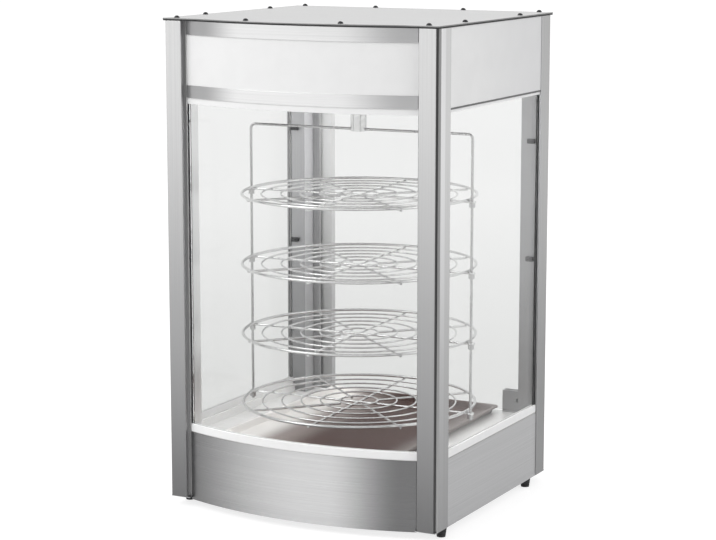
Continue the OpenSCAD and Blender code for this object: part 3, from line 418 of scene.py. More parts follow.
# Rear posts' inner faces: a lighter, less metallic copy of the post metal as painted light, with painted
# shade towards the bottom
rearInner = fades(
    brushedMetal("rearInner", (0.64, 0.64, 0.655), (0.71, 0.71, 0.725), lengthwise, 0.34, 0.46,
                 metallic=0.25),
    (upward, 0.50, 0.10, 0.40, 0.5))
# Door grip: painted shade that darkens it towards the bottom
gripMetal = fades(
    brushedMetal("gripMetal", (0.78, 0.78, 0.78), (0.86, 0.86, 0.86), lengthwise, 0.32, 0.42,
                 metallic=0.6),
    (upward, 0.62, 0.10, 0.44, 0.7))
# Front posts' inner faces: a lighter copy of the post metal as painted reflection of the white around them
innerSheen = brushedMetal("innerSheen", (0.86, 0.86, 0.86), (0.94, 0.94, 0.94), lengthwise, 0.3, 0.4)
# Base front: brushed steel with painted reflection, darker towards its left and right ends
baseSteel = fades(
    brushedMetal("baseSteel", (0.50, 0.50, 0.505), (0.61, 0.61, 0.61), crosswise, 0.26, 0.36),
    (rightward, 0.03, -0.27, 0.11, 1.0), (rightward, 0.06, 0.185, 0.16, 1.0))
# Header bands: brushed metal with painted reflection, darker towards both ends
bandMetal = fades(
    brushedMetal("bandMetal", (0.74, 0.74, 0.74), (0.87, 0.87, 0.87), crosswise, 0.28, 0.38),
    (rightward, -0.09, -0.17, 0.38, 0.95), (rightward, 0.08, 0.19, 0.43, 0.9))
# Base sides: a darker copy of the base steel as painted shade
sideSteel = brushedMetal("sideSteel", (0.34, 0.34, 0.345), (0.41, 0.41, 0.415), crosswise, 0.34, 0.44)
rearSteel = brushedMetal("rearSteel", (0.46, 0.46, 0.465), (0.54, 0.54, 0.545), crosswise, 0.34, 0.44)
topSteel = brushedMetal("topSteel", (0.50, 0.50, 0.50), (0.56, 0.56, 0.56), acrossPlate, 0.46, 0.56,
                        metallic=0.15)
topSteel["shader"].inputs["Specular IOR Level"].default_value = 0.3
# The top plate's edges: a darker copy of its steel as painted shade
plateEdgeShade = brushedMetal("plateEdgeShade", (0.20, 0.20, 0.20), (0.26, 0.26, 0.26), crosswise, 0.4, 0.5)
deckSteel = brushedMetal("deckSteel", (0.90, 0.895, 0.89), (0.96, 0.955, 0.95), acrossPlate, 0.20, 0.28,
                         depth=0.000004, metallic=0.2)
# Pan: its colours are painted reflection, dark brown in the middle as a reflection of food above, lighter
# brown towards the front and left, greyer towards the right and near white at the far left as a reflection
# of bright surroundings
panReflection = brushedMetal("panReflection", (0.088, 0.052, 0.047), (0.110, 0.068, 0.062), acrossPlate, 0.34, 0.44,
                        depth=0.000004, metallic=0.05)
panReflection["shader"].inputs["Specular IOR Level"].default_value = 0.04
paintedPanReflections = [  # axis, start, end, colour and strength
    (backward, -0.12, -0.19, (0.27, 0.215, 0.195), 0.9),
    (rightward, 0.105, 0.15, (0.30, 0.27, 0.26), 0.9),
    (rightward, -0.015, -0.08, (0.33, 0.285, 0.27), 1.0),
    (rightward, -0.08, -0.13, (0.95, 0.93, 0.91), 1.0),
]
for axis, start, end, tone, strength in paintedPanReflections:
    tint(panReflection, effect(panReflection, "fade", Axis=axis, Start=start, End=end), tone, strength)
whiteEnamel = plainSurface("whiteEnamel", (0.92, 0.92, 0.92), 30.0, 0.3, 0.42, 0.00001, cloud=0.98)
# Header sides: a greyer copy of the white enamel as painted shade, darker towards the rear
sideEnamel = fades(
    plainSurface("sideEnamel", (0.86, 0.86, 0.86), 30.0, 0.3, 0.42, 0.00001, cloud=0.98),
    (backward, -0.17, 0.19, 0.74, 1.0))
lightChannel = plainSurface("lightChannel", (0.96, 0.96, 0.96), 60.0, 0.3, 0.4, cloud=0.98)
# A darker copy of the light channel for the side rails: painted shade
sideChannelShade = plainSurface("sideChannelShade", (0.88, 0.88, 0.88), 60.0, 0.3, 0.4, cloud=0.98)
platedSteel = brushedMetal("platedSteel", (0.36, 0.36, 0.37), (0.50, 0.50, 0.51),
                           (300.0, 300.0, 300.0), 0.3, 0.45)
brightWire = brushedMetal("brightWire", (0.70, 0.70, 0.70), (0.82, 0.82, 0.82),
                          (250.0, 250.0, 250.0), 0.14, 0.24)
shaftSteel = brushedMetal("shaftSteel", (0.52, 0.52, 0.52), (0.64, 0.64, 0.64),
                          (250.0, 250.0, 30.0), 0.18, 0.3)
darkSteel = plainSurface("darkSteel", (0.05, 0.05, 0.052), 400.0, 0.3, 0.45, metallic=0.8)
greyRubber = plainSurface("greyRubber", (0.17, 0.17, 0.172), 150.0, 0.6, 0.8, 0.00003)
# A pale copy of the black rubber, as painted light on seal faces that look inwards
litRubber = plainSurface("litRubber", (0.55, 0.55, 0.55), 150.0, 0.6, 0.8, 0.00003)
blackRubber = plainSurface("blackRubber", (0.02, 0.02, 0.021), 150.0, 0.6, 0.8, 0.00003)
blackPlastic = plainSurface("blackPlastic", (0.028, 0.028, 0.03), 250.0, 0.35, 0.5, 0.00002)
greyMetal = plainSurface("greyMetal", (0.30, 0.30, 0.305), 200.0, 0.38, 0.52, 0.00001, metallic=0.6)
redPlastic = plainSurface("redPlastic", (0.60, 0.025, 0.02), 60.0, 0.16, 0.24)
amberPlastic = plainSurface("amberPlastic", (0.90, 0.34, 0.03), 80.0, 0.12, 0.2)
whitePlastic = plainSurface("whitePlastic", (0.82, 0.82, 0.80), 90.0, 0.3, 0.42)
bronze = brushedMetal("sinteredBronze", (0.42, 0.27, 0.12), (0.56, 0.38, 0.18),
                      (400.0, 400.0, 400.0), 0.4, 0.55)
copper = brushedMetal("drawnCopper", (0.60, 0.30, 0.18), (0.74, 0.40, 0.26),
                      (600.0, 60.0, 600.0), 0.25, 0.4)
lampGlass = plainSurface("lampGlass", (0.94, 0.93, 0.88), 30.0, 0.2, 0.3)
paneGlass = clearGlass("paneGlass", (0.895, 0.897, 0.895), (0.78, 0.784, 0.78))
glassEdge = clearGlass("glassEdge", (0.62, 0.74, 0.70), (0.56, 0.68, 0.64))

finishOfNode = {
    "bottom_plate": platedSteel, "rubber_feet": blackRubber, "hidden_screws": platedSteel,
    "front_posts": postMetal, "rear_posts": postMetal, "base_front_panel": baseSteel,
    "base_side_panels": sideSteel, "base_rear_panel": rearSteel, "floor_deck": deckSteel,
    "crumb_pan": panReflection, "lower_rails": lightChannel, "upper_rails": lightChannel,
    "front_glass": paneGlass, "side_glasses": paneGlass, "glass_seals": blackRubber,
    "glass_clips": blackPlastic, "header_front_panel": whiteEnamel, "upper_band": bandMetal,
    "lower_band": bandMetal, "header_side_panels": sideEnamel, "header_rear_panel": whiteEnamel,
    "ceiling_plate": deckSteel, "top_seal": blackRubber, "top_plate": topSteel,
    "top_screws": darkSteel, "lamp_tube": lampGlass, "lamp_holders": whitePlastic,
    "gear_motor": greyMetal, "motor_plate": platedSteel, "shaft_bush": bronze,
    "drive_shaft": shaftSteel, "hub": brightWire, "hub_screw": darkSteel, "frame_bar": shaftSteel,
    "frame_wires": shaftSteel, "rack_1": brightWire, "rack_2": brightWire, "rack_3": brightWire,
    "rack_4": brightWire, "door_glass": paneGlass, "door_grip": gripMetal, "hinge_clamps": greyMetal,
    "clamp_screws": darkSteel, "hinge_brackets": platedSteel, "magnet_catch": whitePlastic,
    "strike_clip": platedSteel, "switch_housings": blackPlastic, "heat_rocker": redPlastic,
    "lamp_rocker": blackPlastic, "turn_rocker": blackPlastic, "thermostat": greyMetal,
    "thermostat_shaft": platedSteel, "thermostat_knob": blackPlastic, "dial_plate": whitePlastic,
    "pilot_lamp": amberPlastic, "power_inlet": blackPlastic, "heating_element": darkSteel,
    "element_brackets": platedSteel, "sensor_bulb": copper, "terminal_block": whitePlastic,
}
for nodeName, finish in finishOfNode.items():
    nodes[nodeName].data.materials.clear()
    nodes[nodeName].data.materials.append(finish["material"])
print("finishes on", len(finishOfNode), "nodes")

# Rounded copies of the CAD's own shapes

rounding = {
    "steps": 2,
    "sharp": 35.0,  # edges sharper than this many degrees are rounded
    "smooth": 33.0,  # and softer ones are shaded smooth
    "merge": 0.000004,  # shorter edges are merged away
}
cleaning = {"merge": 0.00002, "flat": 0.4}  # for a node's loose triangles: a length, and degrees


def only(piece):
    bpy.ops.object.select_all(action="DESELECT")
    piece.select_set(True)
    bpy.context.view_layer.objects.active = piece


def standFor(piece, nodeName, body):
    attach(piece, body)
    if nodeName:
        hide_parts(nodeName)


# Gives each face the one of the finishes that choose returns for its centre and normal
def paint(piece, finishes, choose=None):
    piece.data.materials.clear()
    for finish in finishes:
        piece.data.materials.append(finish["material"])
    for face in piece.data.polygons:
        face.material_index = finishes.index(choose(face.center, face.normal)) if choose else 0


# Rounds the edges sharper than an angle, and keeps the wide faces shaded flat
def roundEdges(piece, width, steps=rounding["steps"], sharp=rounding["sharp"]):
    only(piece)
    bpy.ops.object.modifier_add(type="BEVEL")
    edge = piece.modifiers[-1]
    edge.width = width
    edge.segments = steps
    edge.limit_method = "ANGLE"
    edge.angle_limit = math.radians(sharp)
    edge.use_clamp_overlap = True
    edge.miter_outer = "MITER_ARC"
    bpy.ops.object.modifier_apply(modifier=edge.name)
    bpy.ops.object.mode_set(mode="EDIT")
    bpy.ops.mesh.select_all(action="SELECT")
    bpy.ops.mesh.remove_doubles(threshold=rounding["merge"])
    bpy.ops.mesh.dissolve_degenerate(threshold=rounding["merge"])
    bpy.ops.object.mode_set(mode="OBJECT")
    bpy.ops.object.shade_smooth_by_angle(angle=math.radians(rounding["smooth"]))
    bpy.ops.object.modifier_add(type="WEIGHTED_NORMAL")
    weighted = piece.modifiers[-1]
    weighted.keep_sharp = True
    bpy.ops.object.modifier_apply(modifier=weighted.name)


# Piece, node, width of the rounding, material slot and body
softPieces = [
    ("frontPosts", "front_posts", 0.0004, "satin_aluminium", "cabinet"),
    ("rearPosts", "rear_posts", 0.0004, "satin_aluminium", "cabinet"),
    ("baseFront", "base_front_panel", 0.0006, "brushed_steel", "cabinet"),
    ("baseSides", "base_side_panels", 0.0006, "brushed_steel", "cabinet"),
    ("baseRear", "base_rear_panel", 0.0003, "brushed_steel", "cabinet"),
    ("deck", "floor_deck", 0.0005, "polished_steel", "cabinet"),
    ("lowerRails", "lower_rails", 0.0003, "light_channel", "cabinet"),
    ("upperRails", "upper_rails", 0.0003, "light_channel", "cabinet"),
    ("headerFront", "header_front_panel", 0.0005, "white_paint", "cabinet"),
    ("headerSides", "header_side_panels", 0.0006, "white_paint", "cabinet"),
    ("headerRear", "header_rear_panel", 0.0006, "white_paint", "cabinet"),
    ("upperBand", "upper_band", 0.0004, "brushed_steel", "cabinet"),
    ("lowerBand", "lower_band", 0.0004, "brushed_steel", "cabinet"),
    ("topPlate", "top_plate", 0.0006, "brushed_steel", "cabinet"),
    ("bottomPlate", "bottom_plate", 0.0004, "plated_steel", "cabinet"),
    ("seals", "glass_seals", 0.0003, "black_rubber", "cabinet"),
    ("glassClips", "glass_clips", 0.0008, "black_plastic", "cabinet"),
    ("lampHolders", "lamp_holders", 0.0008, "white_plastic", "cabinet"),
    ("frontGlass", "front_glass", 0.0005, "clear_glass", "cabinet"),
    ("sideGlasses", "side_glasses", 0.0005, "clear_glass", "cabinet"),
    ("magnetCatch", "magnet_catch", 0.0010, "white_plastic", "cabinet"),
    ("hingeBrackets", "hinge_brackets", 0.0003, "plated_steel", "cabinet"),
    ("switchHousings", "switch_housings", 0.0004, "black_plastic", "cabinet"),
    ("dialPlate", "dial_plate", 0.0002, "white_plastic", "cabinet"),
    ("pilotLens", "pilot_lamp", 0.0008, "amber_plastic", "cabinet"),
    ("inlet", "power_inlet", 0.0005, "black_plastic", "cabinet"),
    ("ceiling", "ceiling_plate", 0.0003, "polished_steel", "cabinet"),
    ("topSeal", "top_seal", 0.0002, "black_rubber", "cabinet"),
    ("displayTube", "lamp_tube", 0.0015, "lamp_glass", "cabinet"),
    ("gearMotor", "gear_motor", 0.0012, "grey_metal", "cabinet"),
    ("motorPlate", "motor_plate", 0.0004, "plated_steel", "cabinet"),
    ("shaftBush", "shaft_bush", 0.0003, "sintered_bronze", "cabinet"),
    ("thermostatBody", "thermostat", 0.0008, "grey_metal", "cabinet"),
    ("elementClips", "element_brackets", 0.0003, "plated_steel", "cabinet"),
    ("terminals", "terminal_block", 0.0006, "white_plastic", "cabinet"),
    ("sensorBulb", "sensor_bulb", 0.0010, "copper_bulb", "cabinet"),
    ("doorGlass", "door_glass", 0.0005, "clear_glass", "door"),
    ("doorGrip", "door_grip", 0.0004, "satin_aluminium", "door"),
    ("hub", "hub", 0.0006, "bright_wire", "carousel"),
    ("hingeClamps", "hinge_clamps", 0.0012, "grey_metal", "door"),
    ("strikeClip", "strike_clip", 0.0003, "plated_steel", "door"),
    ("heatRocker", "heat_rocker", 0.0005, "red_plastic", "heat_switch"),
    ("lampRocker", "lamp_rocker", 0.0005, "black_plastic", "lamp_switch"),
    ("turnRocker", "turn_rocker", 0.0005, "black_plastic", "turn_switch"),
]


# A merged copy of a node's mesh, with its edges rounded
def softened(name, nodeName, width, slot, body):
    source = nodes[nodeName]
    piece = bpy.data.objects.new(name, source.data.copy())
    bpy.context.scene.collection.objects.link(piece)
    only(piece)
    bpy.ops.object.mode_set(mode="EDIT")
    bpy.ops.mesh.select_all(action="SELECT")
    bpy.ops.mesh.customdata_custom_splitnormals_clear()
    bpy.ops.mesh.remove_doubles(threshold=cleaning["merge"])
    bpy.ops.mesh.dissolve_limited(angle_limit=math.radians(cleaning["flat"]))
    bpy.ops.mesh.normals_make_consistent(inside=False)
    bpy.ops.object.mode_set(mode="OBJECT")
    roundEdges(piece, width)
    standFor(piece, nodeName, body)
    return piece


soft = {}
for row in softPieces:
    soft[row[0]] = softened(*row)
print("softened pieces:", len(soft))

# Places that tell the faces of the posts, seals, rails and door grip apart

posts = {
    "side": 0.2445,  # beyond this a face is the post's outer side
    "inner": 0.2075,  # within this it is the side towards the glass
    "stripFront": -0.2020,  # the front strips stand before this
    "stripRear": 0.2216,  # and the rear strips behind this
    "stripMiddle": 0.225,  # a strip's outer step side is beyond this
    "beads": (0.2115, 0.2405),  # the beads lie within the first and beyond the second
    "rearFace": (0.1850, 0.1868),  # the rear posts' face towards the front lies between these
}
sideways = 0.8  # a face looks along an axis where that part of its normal is over this
seals = {"header": 0.674}  # above this a seal lies along the header
rails = {"side": 0.208}  # beyond this a lower rail holds a side glass
# before this the grip's faces towards the cabinet are painted in shade
handle = {"front": 0.2145}  # before this the door grip's faces towards the cabinet are dark


# A post has a strip with steps at its sides, beads beside it, and a side and an inner face; steps, beads,
# sides and rear faces take darker copies of the metal as painted shade, inner faces lighter ones as painted
# light
def postFinish(sideMetal):
    def choose(center, normal):
        x = abs(center.x)
        atStrip = center.y < posts["stripFront"] or center.y > posts["stripRear"]
        turned = abs(normal.x) > sideways
        if x > posts["side"] and turned:
            return sideMetal
        if x < posts["inner"] and turned:
            return rearInner if center.y > 0 else innerSheen
        if posts["rearFace"][0] < center.y < posts["rearFace"][1]:
            return rearFace
        if atStrip and turned:
            return grooveShade if x > posts["stripMiddle"] else stepShade
        if x > posts["beads"][1] and not turned or x < posts["beads"][0]:
            return beadShade
        return postMetal
    return choose


# The plate's edges take the darker copy as painted shade
def plateFinish(center, normal):
    return topSteel if abs(normal.z) > 0.5 else plateEdgeShade


# The side rails take the darker copy as painted shade
def railFinish(center, normal):
    return sideChannelShade if abs(center.x) > rails["side"] else lightChannel


# The grip's faces towards the cabinet take the darker step copy as painted shade
def handleFinish(center, normal):
    return stepShade if normal.y < -sideways and center.y < handle["front"] else gripMetal


# Grey along the header, pale as painted light where a seal looks inwards at the back, black elsewhere
def sealFinish(center, normal):
    if center.z > seals["header"]:
        return greyRubber
    return litRubber if center.y > 0 and normal.x * center.x < 0 else blackRubber


# A pane's broad faces look along an axis, 0 for x and 1 for y, and its other faces are its green edges
def paneFinish(axis):
    return lambda center, normal: paneGlass if abs(normal[axis]) > 0.7 else glassEdge


postFinishes = [postMetal, postSide, innerSheen, beadShade, stepShade, grooveShade, rearPostSide, rearInner,
                rearFace]
panes = [paneGlass, glassEdge]
paint(soft["frontPosts"], postFinishes, postFinish(postSide))
paint(soft["rearPosts"], postFinishes, postFinish(rearPostSide))
paint(soft["topPlate"], [topSteel, plateEdgeShade], plateFinish)
paint(soft["lowerRails"], [lightChannel, sideChannelShade], railFinish)
paint(soft["doorGrip"], [gripMetal, stepShade], handleFinish)
paint(soft["seals"], [blackRubber, greyRubber, litRubber], sealFinish)
paint(soft["frontGlass"], panes, paneFinish(1))
paint(soft["doorGlass"], panes, paneFinish(1))
paint(soft["sideGlasses"], panes, paneFinish(0))
print("posts, plate, rails, grip, seals and panes painted")

# Shaping tools for new pieces


def lastMade(name):
    piece = bpy.context.active_object
    piece.name = name
    return piece


# Opens a piece for editing with the faces, or the edges, that choose picks by their centre and normal
def edit(piece, choose=None, kind="FACE"):
    only(piece)
    bpy.ops.object.mode_set(mode="EDIT")
    bpy.ops.mesh.select_mode(type=kind)
    bpy.ops.mesh.select_all(action="SELECT" if choose is None else "DESELECT")
    if choose is None:
        return
    bpy.ops.object.mode_set(mode="OBJECT")
    mesh = piece.data
    if kind == "FACE":
        for face in mesh.polygons:
            face.select = choose(face.center, face.normal)
    else:
        for line in mesh.edges:
            start, end = (mesh.vertices[i].co for i in line.vertices)
            line.select = choose((start + end) / 2, (end - start).normalized())
    bpy.ops.object.mode_set(mode="EDIT")


def close():
    bpy.ops.object.mode_set(mode="OBJECT")


def settle(piece):
    only(piece)
    bpy.ops.object.transform_apply(location=True, rotation=True, scale=True)


# Joins pieces into one, which gets the name
def joined(name, pieces):
    bpy.ops.object.select_all(action="DESELECT")
    for piece in pieces:
        piece.select_set(True)
    bpy.context.view_layer.objects.active = pieces[0]
    bpy.ops.object.join()
    return lastMade(name)


# Copies of a piece, each with its own mesh, turned and moved to its place, then joined; the first one goes
def repeated(name, piece, places):
    made = []
    for place, turn in places:
        only(piece)
        bpy.ops.object.duplicate(linked=False)
        twin = bpy.context.active_object
        twin.rotation_euler = [math.radians(angle) for angle in turn]
        twin.location = place
        settle(twin)
        made.append(twin)
    bpy.data.objects.remove(piece)
    return joined(name, made)


def cut(piece, cutter):
    only(piece)
    bpy.ops.object.modifier_add(type="BOOLEAN")
    hole = piece.modifiers[-1]
    hole.operation = "DIFFERENCE"
    hole.solver = "EXACT"
    hole.object = cutter
    bpy.ops.object.modifier_apply(modifier=hole.name)
    bpy.data.objects.remove(cutter)


# A block with rounded edges, its centre at place
def block(size, place, width, steps=rounding["steps"]):
    bpy.ops.object.select_all(action="DESELECT")
    bpy.ops.mesh.primitive_cube_add(size=1.0)
    piece = lastMade("block")
    edit(piece)
    bpy.ops.transform.resize(value=size)
    bpy.ops.transform.translate(value=place)
    close()
    roundEdges(piece, width, steps)
    return piece


headMesh = {"around": 40, "rings": 40, "rounding": 0.00012, "sharp": 40.0}


# A domed screw head that points up, with a recess of some sides
def domeHead(screw):
    radius, height = screw["radius"], screw["height"]
    ball = (radius ** 2 + height ** 2) / (2 * height)
    bpy.ops.object.select_all(action="DESELECT")
    bpy.ops.mesh.primitive_uv_sphere_add(segments=headMesh["around"], ring_count=headMesh["rings"],
                                         radius=ball, location=(0, 0, 0))
    head = lastMade("head")
    edit(head)
    bpy.ops.transform.translate(value=(0, 0, height - ball))
    bpy.ops.mesh.bisect(plane_co=(0, 0, 0), plane_no=(0, 0, 1), use_fill=True, clear_inner=True)
    close()
    bpy.ops.object.select_all(action="DESELECT")
    bpy.ops.mesh.primitive_cylinder_add(vertices=screw["sides"], radius=screw["recess"],
                                        depth=2 * screw["depth"], location=(0, 0, height))
    cut(head, lastMade("cutter"))
    roundEdges(head, headMesh["rounding"], sharp=headMesh["sharp"])
    return head


# Fasteners

domes = {
    "radius": 0.0045, "height": 0.004, "recess": 0.0019, "depth": 0.0016, "sides": 6, "top": 0.805,
    "corner": (0.224, -0.2012, 0.2208),  # x, front y and rear y
    "side": (0.235, -0.0962, 0.1158),
    "middle": (0.084, -0.22242, 0.2208),
}
domePlaces = [((side * x, y, domes["top"]), (0, 0, 0))
              for x, front, rear in (domes["corner"], domes["side"], domes["middle"])
              for side in (-1, 1) for y in (front, rear)]
topScrews = repeated("topScrews", domeHead(domes), domePlaces)
paint(topScrews, [darkSteel])
standFor(topScrews, "top_screws", "cabinet")

clampBolts = {
    "radius": 0.004, "height": 0.0012, "recess": 0.0016, "depth": 0.0008, "sides": 6,
    "x": 0.196, "y": 0.2188, "out": 0.008, "heights": (0.1375, 0.7065),
    "shank": 0.0025, "shankSides": 32, "shankRounding": 0.0003,
}
boltPlaces = [((clampBolts["x"], clampBolts["y"] + side * clampBolts["out"], z), (-90 * side, 0, 0))
              for z in clampBolts["heights"] for side in (-1, 1)]
boltHeads = repeated("clampHeads", domeHead(clampBolts), boltPlaces)
bpy.ops.object.select_all(action="DESELECT")
bpy.ops.mesh.primitive_cylinder_add(vertices=clampBolts["shankSides"], radius=clampBolts["shank"],
                                    depth=2 * clampBolts["out"])
shank = lastMade("shank")
roundEdges(shank, clampBolts["shankRounding"], 1)
shanks = repeated("clampShanks", shank, [((clampBolts["x"], clampBolts["y"], z), (90, 0, 0))
                                         for z in clampBolts["heights"]])
bolts = joined("clampScrews", [boltHeads, shanks])
paint(bolts, [darkSteel])
standFor(bolts, "clamp_screws", "door")

panelScrews = {
    "radius": 0.0036, "height": 0.0018, "recess": 0.0015, "depth": 0.0009, "sides": 4,
    "face": 0.2218, "x": 0.196, "heights": (0.028, 0.104, 0.742, 0.792),
    "inlet": (-0.15, 0.0205, 0.0025, 0.067),  # x of its middle, a screw's distance from there, rise and z
}
screwPlaces = [((side * panelScrews["x"], panelScrews["face"], z), (-90, 0, 0))
               for z in panelScrews["heights"] for side in (-1, 1)]
inletX, inletReach, inletRise, inletZ = panelScrews["inlet"]
screwPlaces += [((inletX + side * inletReach, panelScrews["face"] + inletRise, inletZ), (-90, 0, 0))
                for side in (-1, 1)]
screws = repeated("panelScrews", domeHead(panelScrews), screwPlaces)
paint(screws, [platedSteel])
standFor(screws, None, "cabinet")
print("screws made:", len(domePlaces) + len(boltPlaces) + len(screwPlaces))

# Feet: tapered rubber with a bore for the screw head and two grooves

foot = {
    "low": 0.007, "high": 0.009, "height": 0.015, "sides": 48, "rounding": 0.0004,
    "rim": 0.0025, "bore": 0.0075,  # of the underside
    "grooves": ((0.0045, 0.0055), (0.009, 0.010)),  # their lower and upper edges
    "groove": (0.0001, 0.0005),  # slope and depth
    "x": 0.233, "y": (-0.1662, 0.1668),
}
bpy.ops.object.select_all(action="DESELECT")
bpy.ops.mesh.primitive_cone_add(vertices=foot["sides"], radius1=foot["low"], radius2=foot["high"],
                                depth=foot["height"], location=(0, 0, foot["height"] / 2))
rubber = lastMade("foot")
settle(rubber)
for groove in foot["grooves"]:
    for level in groove:
        edit(rubber)
        bpy.ops.mesh.bisect(plane_co=(0, 0, level), plane_no=(0, 0, 1))
        close()
for low, high in foot["grooves"]:
    edit(rubber, lambda center, normal: low < center.z < high and abs(normal.z) < 0.5)
    bpy.ops.mesh.inset(thickness=foot["groove"][0], depth=-foot["groove"][1])
    close()
edit(rubber, lambda center, normal: normal.z < -0.9 and center.z < 0.001)
bpy.ops.mesh.inset(thickness=foot["rim"])
bpy.ops.mesh.extrude_region_move(TRANSFORM_OT_translate={"value": (0, 0, foot["bore"])})
close()
roundEdges(rubber, foot["rounding"])
feet = repeated("rubberFeet", rubber,
                [((side * foot["x"], y, 0), (0, 0, 0)) for side in (-1, 1) for y in foot["y"]])
paint(feet, [blackRubber])
standFor(feet, "rubber_feet", "cabinet")
print("feet made")

# Pan: pressed tray with a turned rim

pan = {
    "width": 0.326, "depth": 0.392, "rim": 0.006, "corner": 0.010,
    "middle": 0.0125, "floor": 0.1158, "top": 0.1265,  # y of its middle, and heights
    "draft": 0.002, "hem": 0.002, "sheet": 0.001, "bend": 0.0016,
    "cornerSteps": 10, "bendSteps": 4, "sharp": 50.0, "smooth": 40.0,  # the last two in degrees
}
innerWidth, innerDepth = pan["width"] - 2 * pan["rim"], pan["depth"] - 2 * pan["rim"]
floorWidth, floorDepth = innerWidth - 2 * pan["draft"], innerDepth - 2 * pan["draft"]
bpy.ops.object.select_all(action="DESELECT")
bpy.ops.mesh.primitive_plane_add(size=1.0, location=(0, 0, 0))
tray = lastMade("crumbTray")
edit(tray)
bpy.ops.transform.resize(value=(floorWidth, floorDepth, 1))
bpy.ops.mesh.bevel(offset=pan["corner"], segments=pan["cornerSteps"], affect="VERTICES")
close()
edit(tray, lambda middle, along: True, "EDGE")
bpy.ops.mesh.extrude_edges_move(TRANSFORM_OT_translate={"value": (0, 0, pan["top"] - pan["floor"])})
bpy.ops.transform.resize(value=(innerWidth / floorWidth, innerDepth / floorDepth, 1))
bpy.ops.mesh.extrude_edges_move(TRANSFORM_OT_translate={"value": (0, 0, 0)})
bpy.ops.transform.resize(value=(pan["width"] / innerWidth, pan["depth"] / innerDepth, 1))
bpy.ops.mesh.extrude_edges_move(TRANSFORM_OT_translate={"value": (0, 0, -pan["hem"])})
close()
edit(tray)
bpy.ops.transform.translate(value=(0, pan["middle"], pan["floor"]))
close()
roundEdges(tray, pan["bend"], pan["bendSteps"], pan["sharp"])
only(tray)
bpy.ops.object.modifier_add(type="SOLIDIFY")
wall = tray.modifiers[-1]
wall.thickness = pan["sheet"]
wall.offset = 0.0
bpy.ops.object.modifier_apply(modifier=wall.name)
edit(tray)
bpy.ops.mesh.normals_make_consistent(inside=False)
close()
bpy.ops.object.shade_smooth_by_angle(angle=math.radians(pan["smooth"]))
paint(tray, [panReflection])
standFor(tray, "crumb_pan", "cabinet")
print("pan made")

# Marks on the rockers: a bar on the upper half and a ring on the lower one

rockers = {
    "x": {"heatMarks": -0.070, "lampMarks": -0.034, "turnMarks": 0.002},
    "body": {"heatMarks": "heat_switch", "lampMarks": "lamp_switch", "turnMarks": "turn_switch"},
    "upper": (0.2233, 0.07352, 0.54),  # y, z and tilt of the upper face's middle
    "lower": (0.2254, 0.06170, 19.46),
    "bar": (0.0010, 0.0004, 0.0050),
    "barRounding": 0.00015,
    "ring": (0.0021, 0.00045),  # radius, and radius of its wire
    "ringSteps": (32, 10),
    "ringScale": (0.85, 1.15, 0.6),
    "smooth": 60.0,
}
for name, x in rockers["x"].items():
    y, z, tilt = rockers["upper"]
    bar = block(rockers["bar"], (0, 0, 0), rockers["barRounding"])
    bar = repeated("bar", bar, [((x, y, z), (tilt, 0, 0))])
    y, z, tilt = rockers["lower"]
    bpy.ops.object.select_all(action="DESELECT")
    bpy.ops.mesh.primitive_torus_add(
        major_radius=rockers["ring"][0], minor_radius=rockers["ring"][1],
        major_segments=rockers["ringSteps"][0], minor_segments=rockers["ringSteps"][1])
    ring = lastMade("ring")
    edit(ring)
    bpy.ops.transform.resize(value=rockers["ringScale"])
    close()
    bpy.ops.object.shade_smooth_by_angle(angle=math.radians(rockers["smooth"]))
    ring = repeated("ring", ring, [((x, y, z), (tilt - 90, 0, 0))])
    marks = joined(name, [bar, ring])
    paint(marks, [whitePlastic])
    standFor(marks, None, rockers["body"][name])
print("rocker marks made")

# Knob with a fluted skirt, a grip bar and a pointer, over a dial with ticks and numbers

knob = {
    "x": 0.115, "z": 0.067, "seat": 0.2232, "turn": (-90, 0, 0),
    "radius": 0.019, "upper": 0.0175, "skirt": 0.005,
    "sides": 72, "every": 3, "flute": (0.0002, 0.0006),  # of the skirt's sides one in three is a flute
    "fluteRounding": 0.00015, "fluteSharp": 50.0,
    "cap": (0.0155, 0.0015), "capSides": 64, "capRounding": 0.0008, "capSteps": 3,
    "bar": (0.010, 0.0325, 0.0112), "barRounding": 0.0014, "barSteps": 4, "sunk": 0.0006,
    "pointer": (0.0012, 0.0110, 0.0005), "pointerPlace": -0.0095, "pointerRounding": 0.0002,
}


def isFlute(center, normal):
    side = round(math.degrees(math.atan2(center.y, center.x)) * knob["sides"] / 360 - 0.5)
    return abs(normal.z) < 0.7 and side % knob["every"] == 0


bpy.ops.object.select_all(action="DESELECT")
bpy.ops.mesh.primitive_cone_add(vertices=knob["sides"], radius1=knob["radius"], radius2=knob["upper"],
                                depth=knob["skirt"], location=(0, 0, knob["skirt"] / 2))
skirt = lastMade("skirt")
settle(skirt)
edit(skirt, isFlute)
bpy.ops.mesh.inset(thickness=knob["flute"][0], depth=-knob["flute"][1], use_individual=True)
close()
roundEdges(skirt, knob["fluteRounding"], 1, knob["fluteSharp"])
bpy.ops.object.select_all(action="DESELECT")
bpy.ops.mesh.primitive_cylinder_add(vertices=knob["capSides"], radius=knob["cap"][0],
                                    depth=2 * knob["cap"][1], location=(0, 0, knob["skirt"]))
cap = lastMade("cap")
settle(cap)
roundEdges(cap, knob["capRounding"], knob["capSteps"])
barHeight = knob["bar"][2]
grip = block(knob["bar"], (0, 0, knob["skirt"] - knob["sunk"] + barHeight / 2),
             knob["barRounding"], knob["barSteps"])
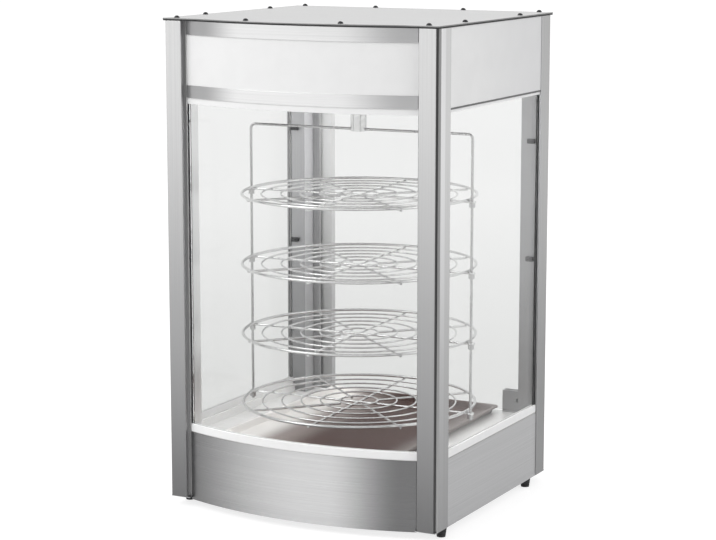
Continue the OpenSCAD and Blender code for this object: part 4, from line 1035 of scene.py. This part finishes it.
knobPlace = [((knob["x"], knob["seat"], knob["z"]), knob["turn"])]
knobPiece = repeated("thermostatKnob", joined("knobParts", [skirt, cap, grip]), knobPlace)
paint(knobPiece, [blackPlastic])
standFor(knobPiece, "thermostat_knob", "thermostat_control")
line = block(knob["pointer"], (0, knob["pointerPlace"], knob["skirt"] - knob["sunk"] + barHeight),
             knob["pointerRounding"])
pointer = repeated("knobPointer", line, knobPlace)
paint(pointer, [whitePlastic])
standFor(pointer, None, "thermostat_control")

dial = {
    "face": 0.2226, "span": 270.0,
    "ticks": 28, "inner": 0.0205, "raised": 0.0002, "tickRounding": 0.00005,
    "every": 3, "long": (0.0005, 0.0030), "short": (0.0003, 0.0018),  # width and length of a tick
    "numbers": 10, "far": 0.0275, "text": 0.0052, "extrude": 0.0001,
}


# A place on the dial, where the angle grows clockwise from the top as seen from behind
def onDial(angle, reach):
    return knob["x"] - reach * math.sin(angle), dial["face"], knob["z"] + reach * math.cos(angle)


dialParts = []
for index in range(dial["ticks"]):
    angle = math.radians(dial["span"] * index / (dial["ticks"] - 1))
    width, length = dial["long"] if index % dial["every"] == 0 else dial["short"]
    tick = block((width, dial["raised"], length), (0, 0, 0), dial["tickRounding"], 1)
    place = onDial(angle, dial["inner"] + length / 2)
    dialParts.append(repeated("tick", tick, [(place, (0, -math.degrees(angle), 0))]))
for number in range(dial["numbers"]):
    angle = math.radians(dial["span"] * number / (dial["numbers"] - 1))
    bpy.ops.object.select_all(action="DESELECT")
    bpy.ops.object.text_add(location=(0, 0, 0))
    digit = lastMade("digit")
    digit.data.body = str(number)
    digit.data.size = dial["text"]
    digit.data.align_x = "CENTER"
    digit.data.align_y = "CENTER"
    digit.data.extrude = dial["extrude"]
    bpy.ops.object.convert(target="MESH")
    dialParts.append(repeated("digit", lastMade("digit"), [(onDial(angle, dial["far"]), (90, 0, 180))]))
dialMarks = joined("dialMarks", dialParts)
paint(dialMarks, [blackPlastic])
standFor(dialMarks, None, "cabinet")
print("knob and dial made")
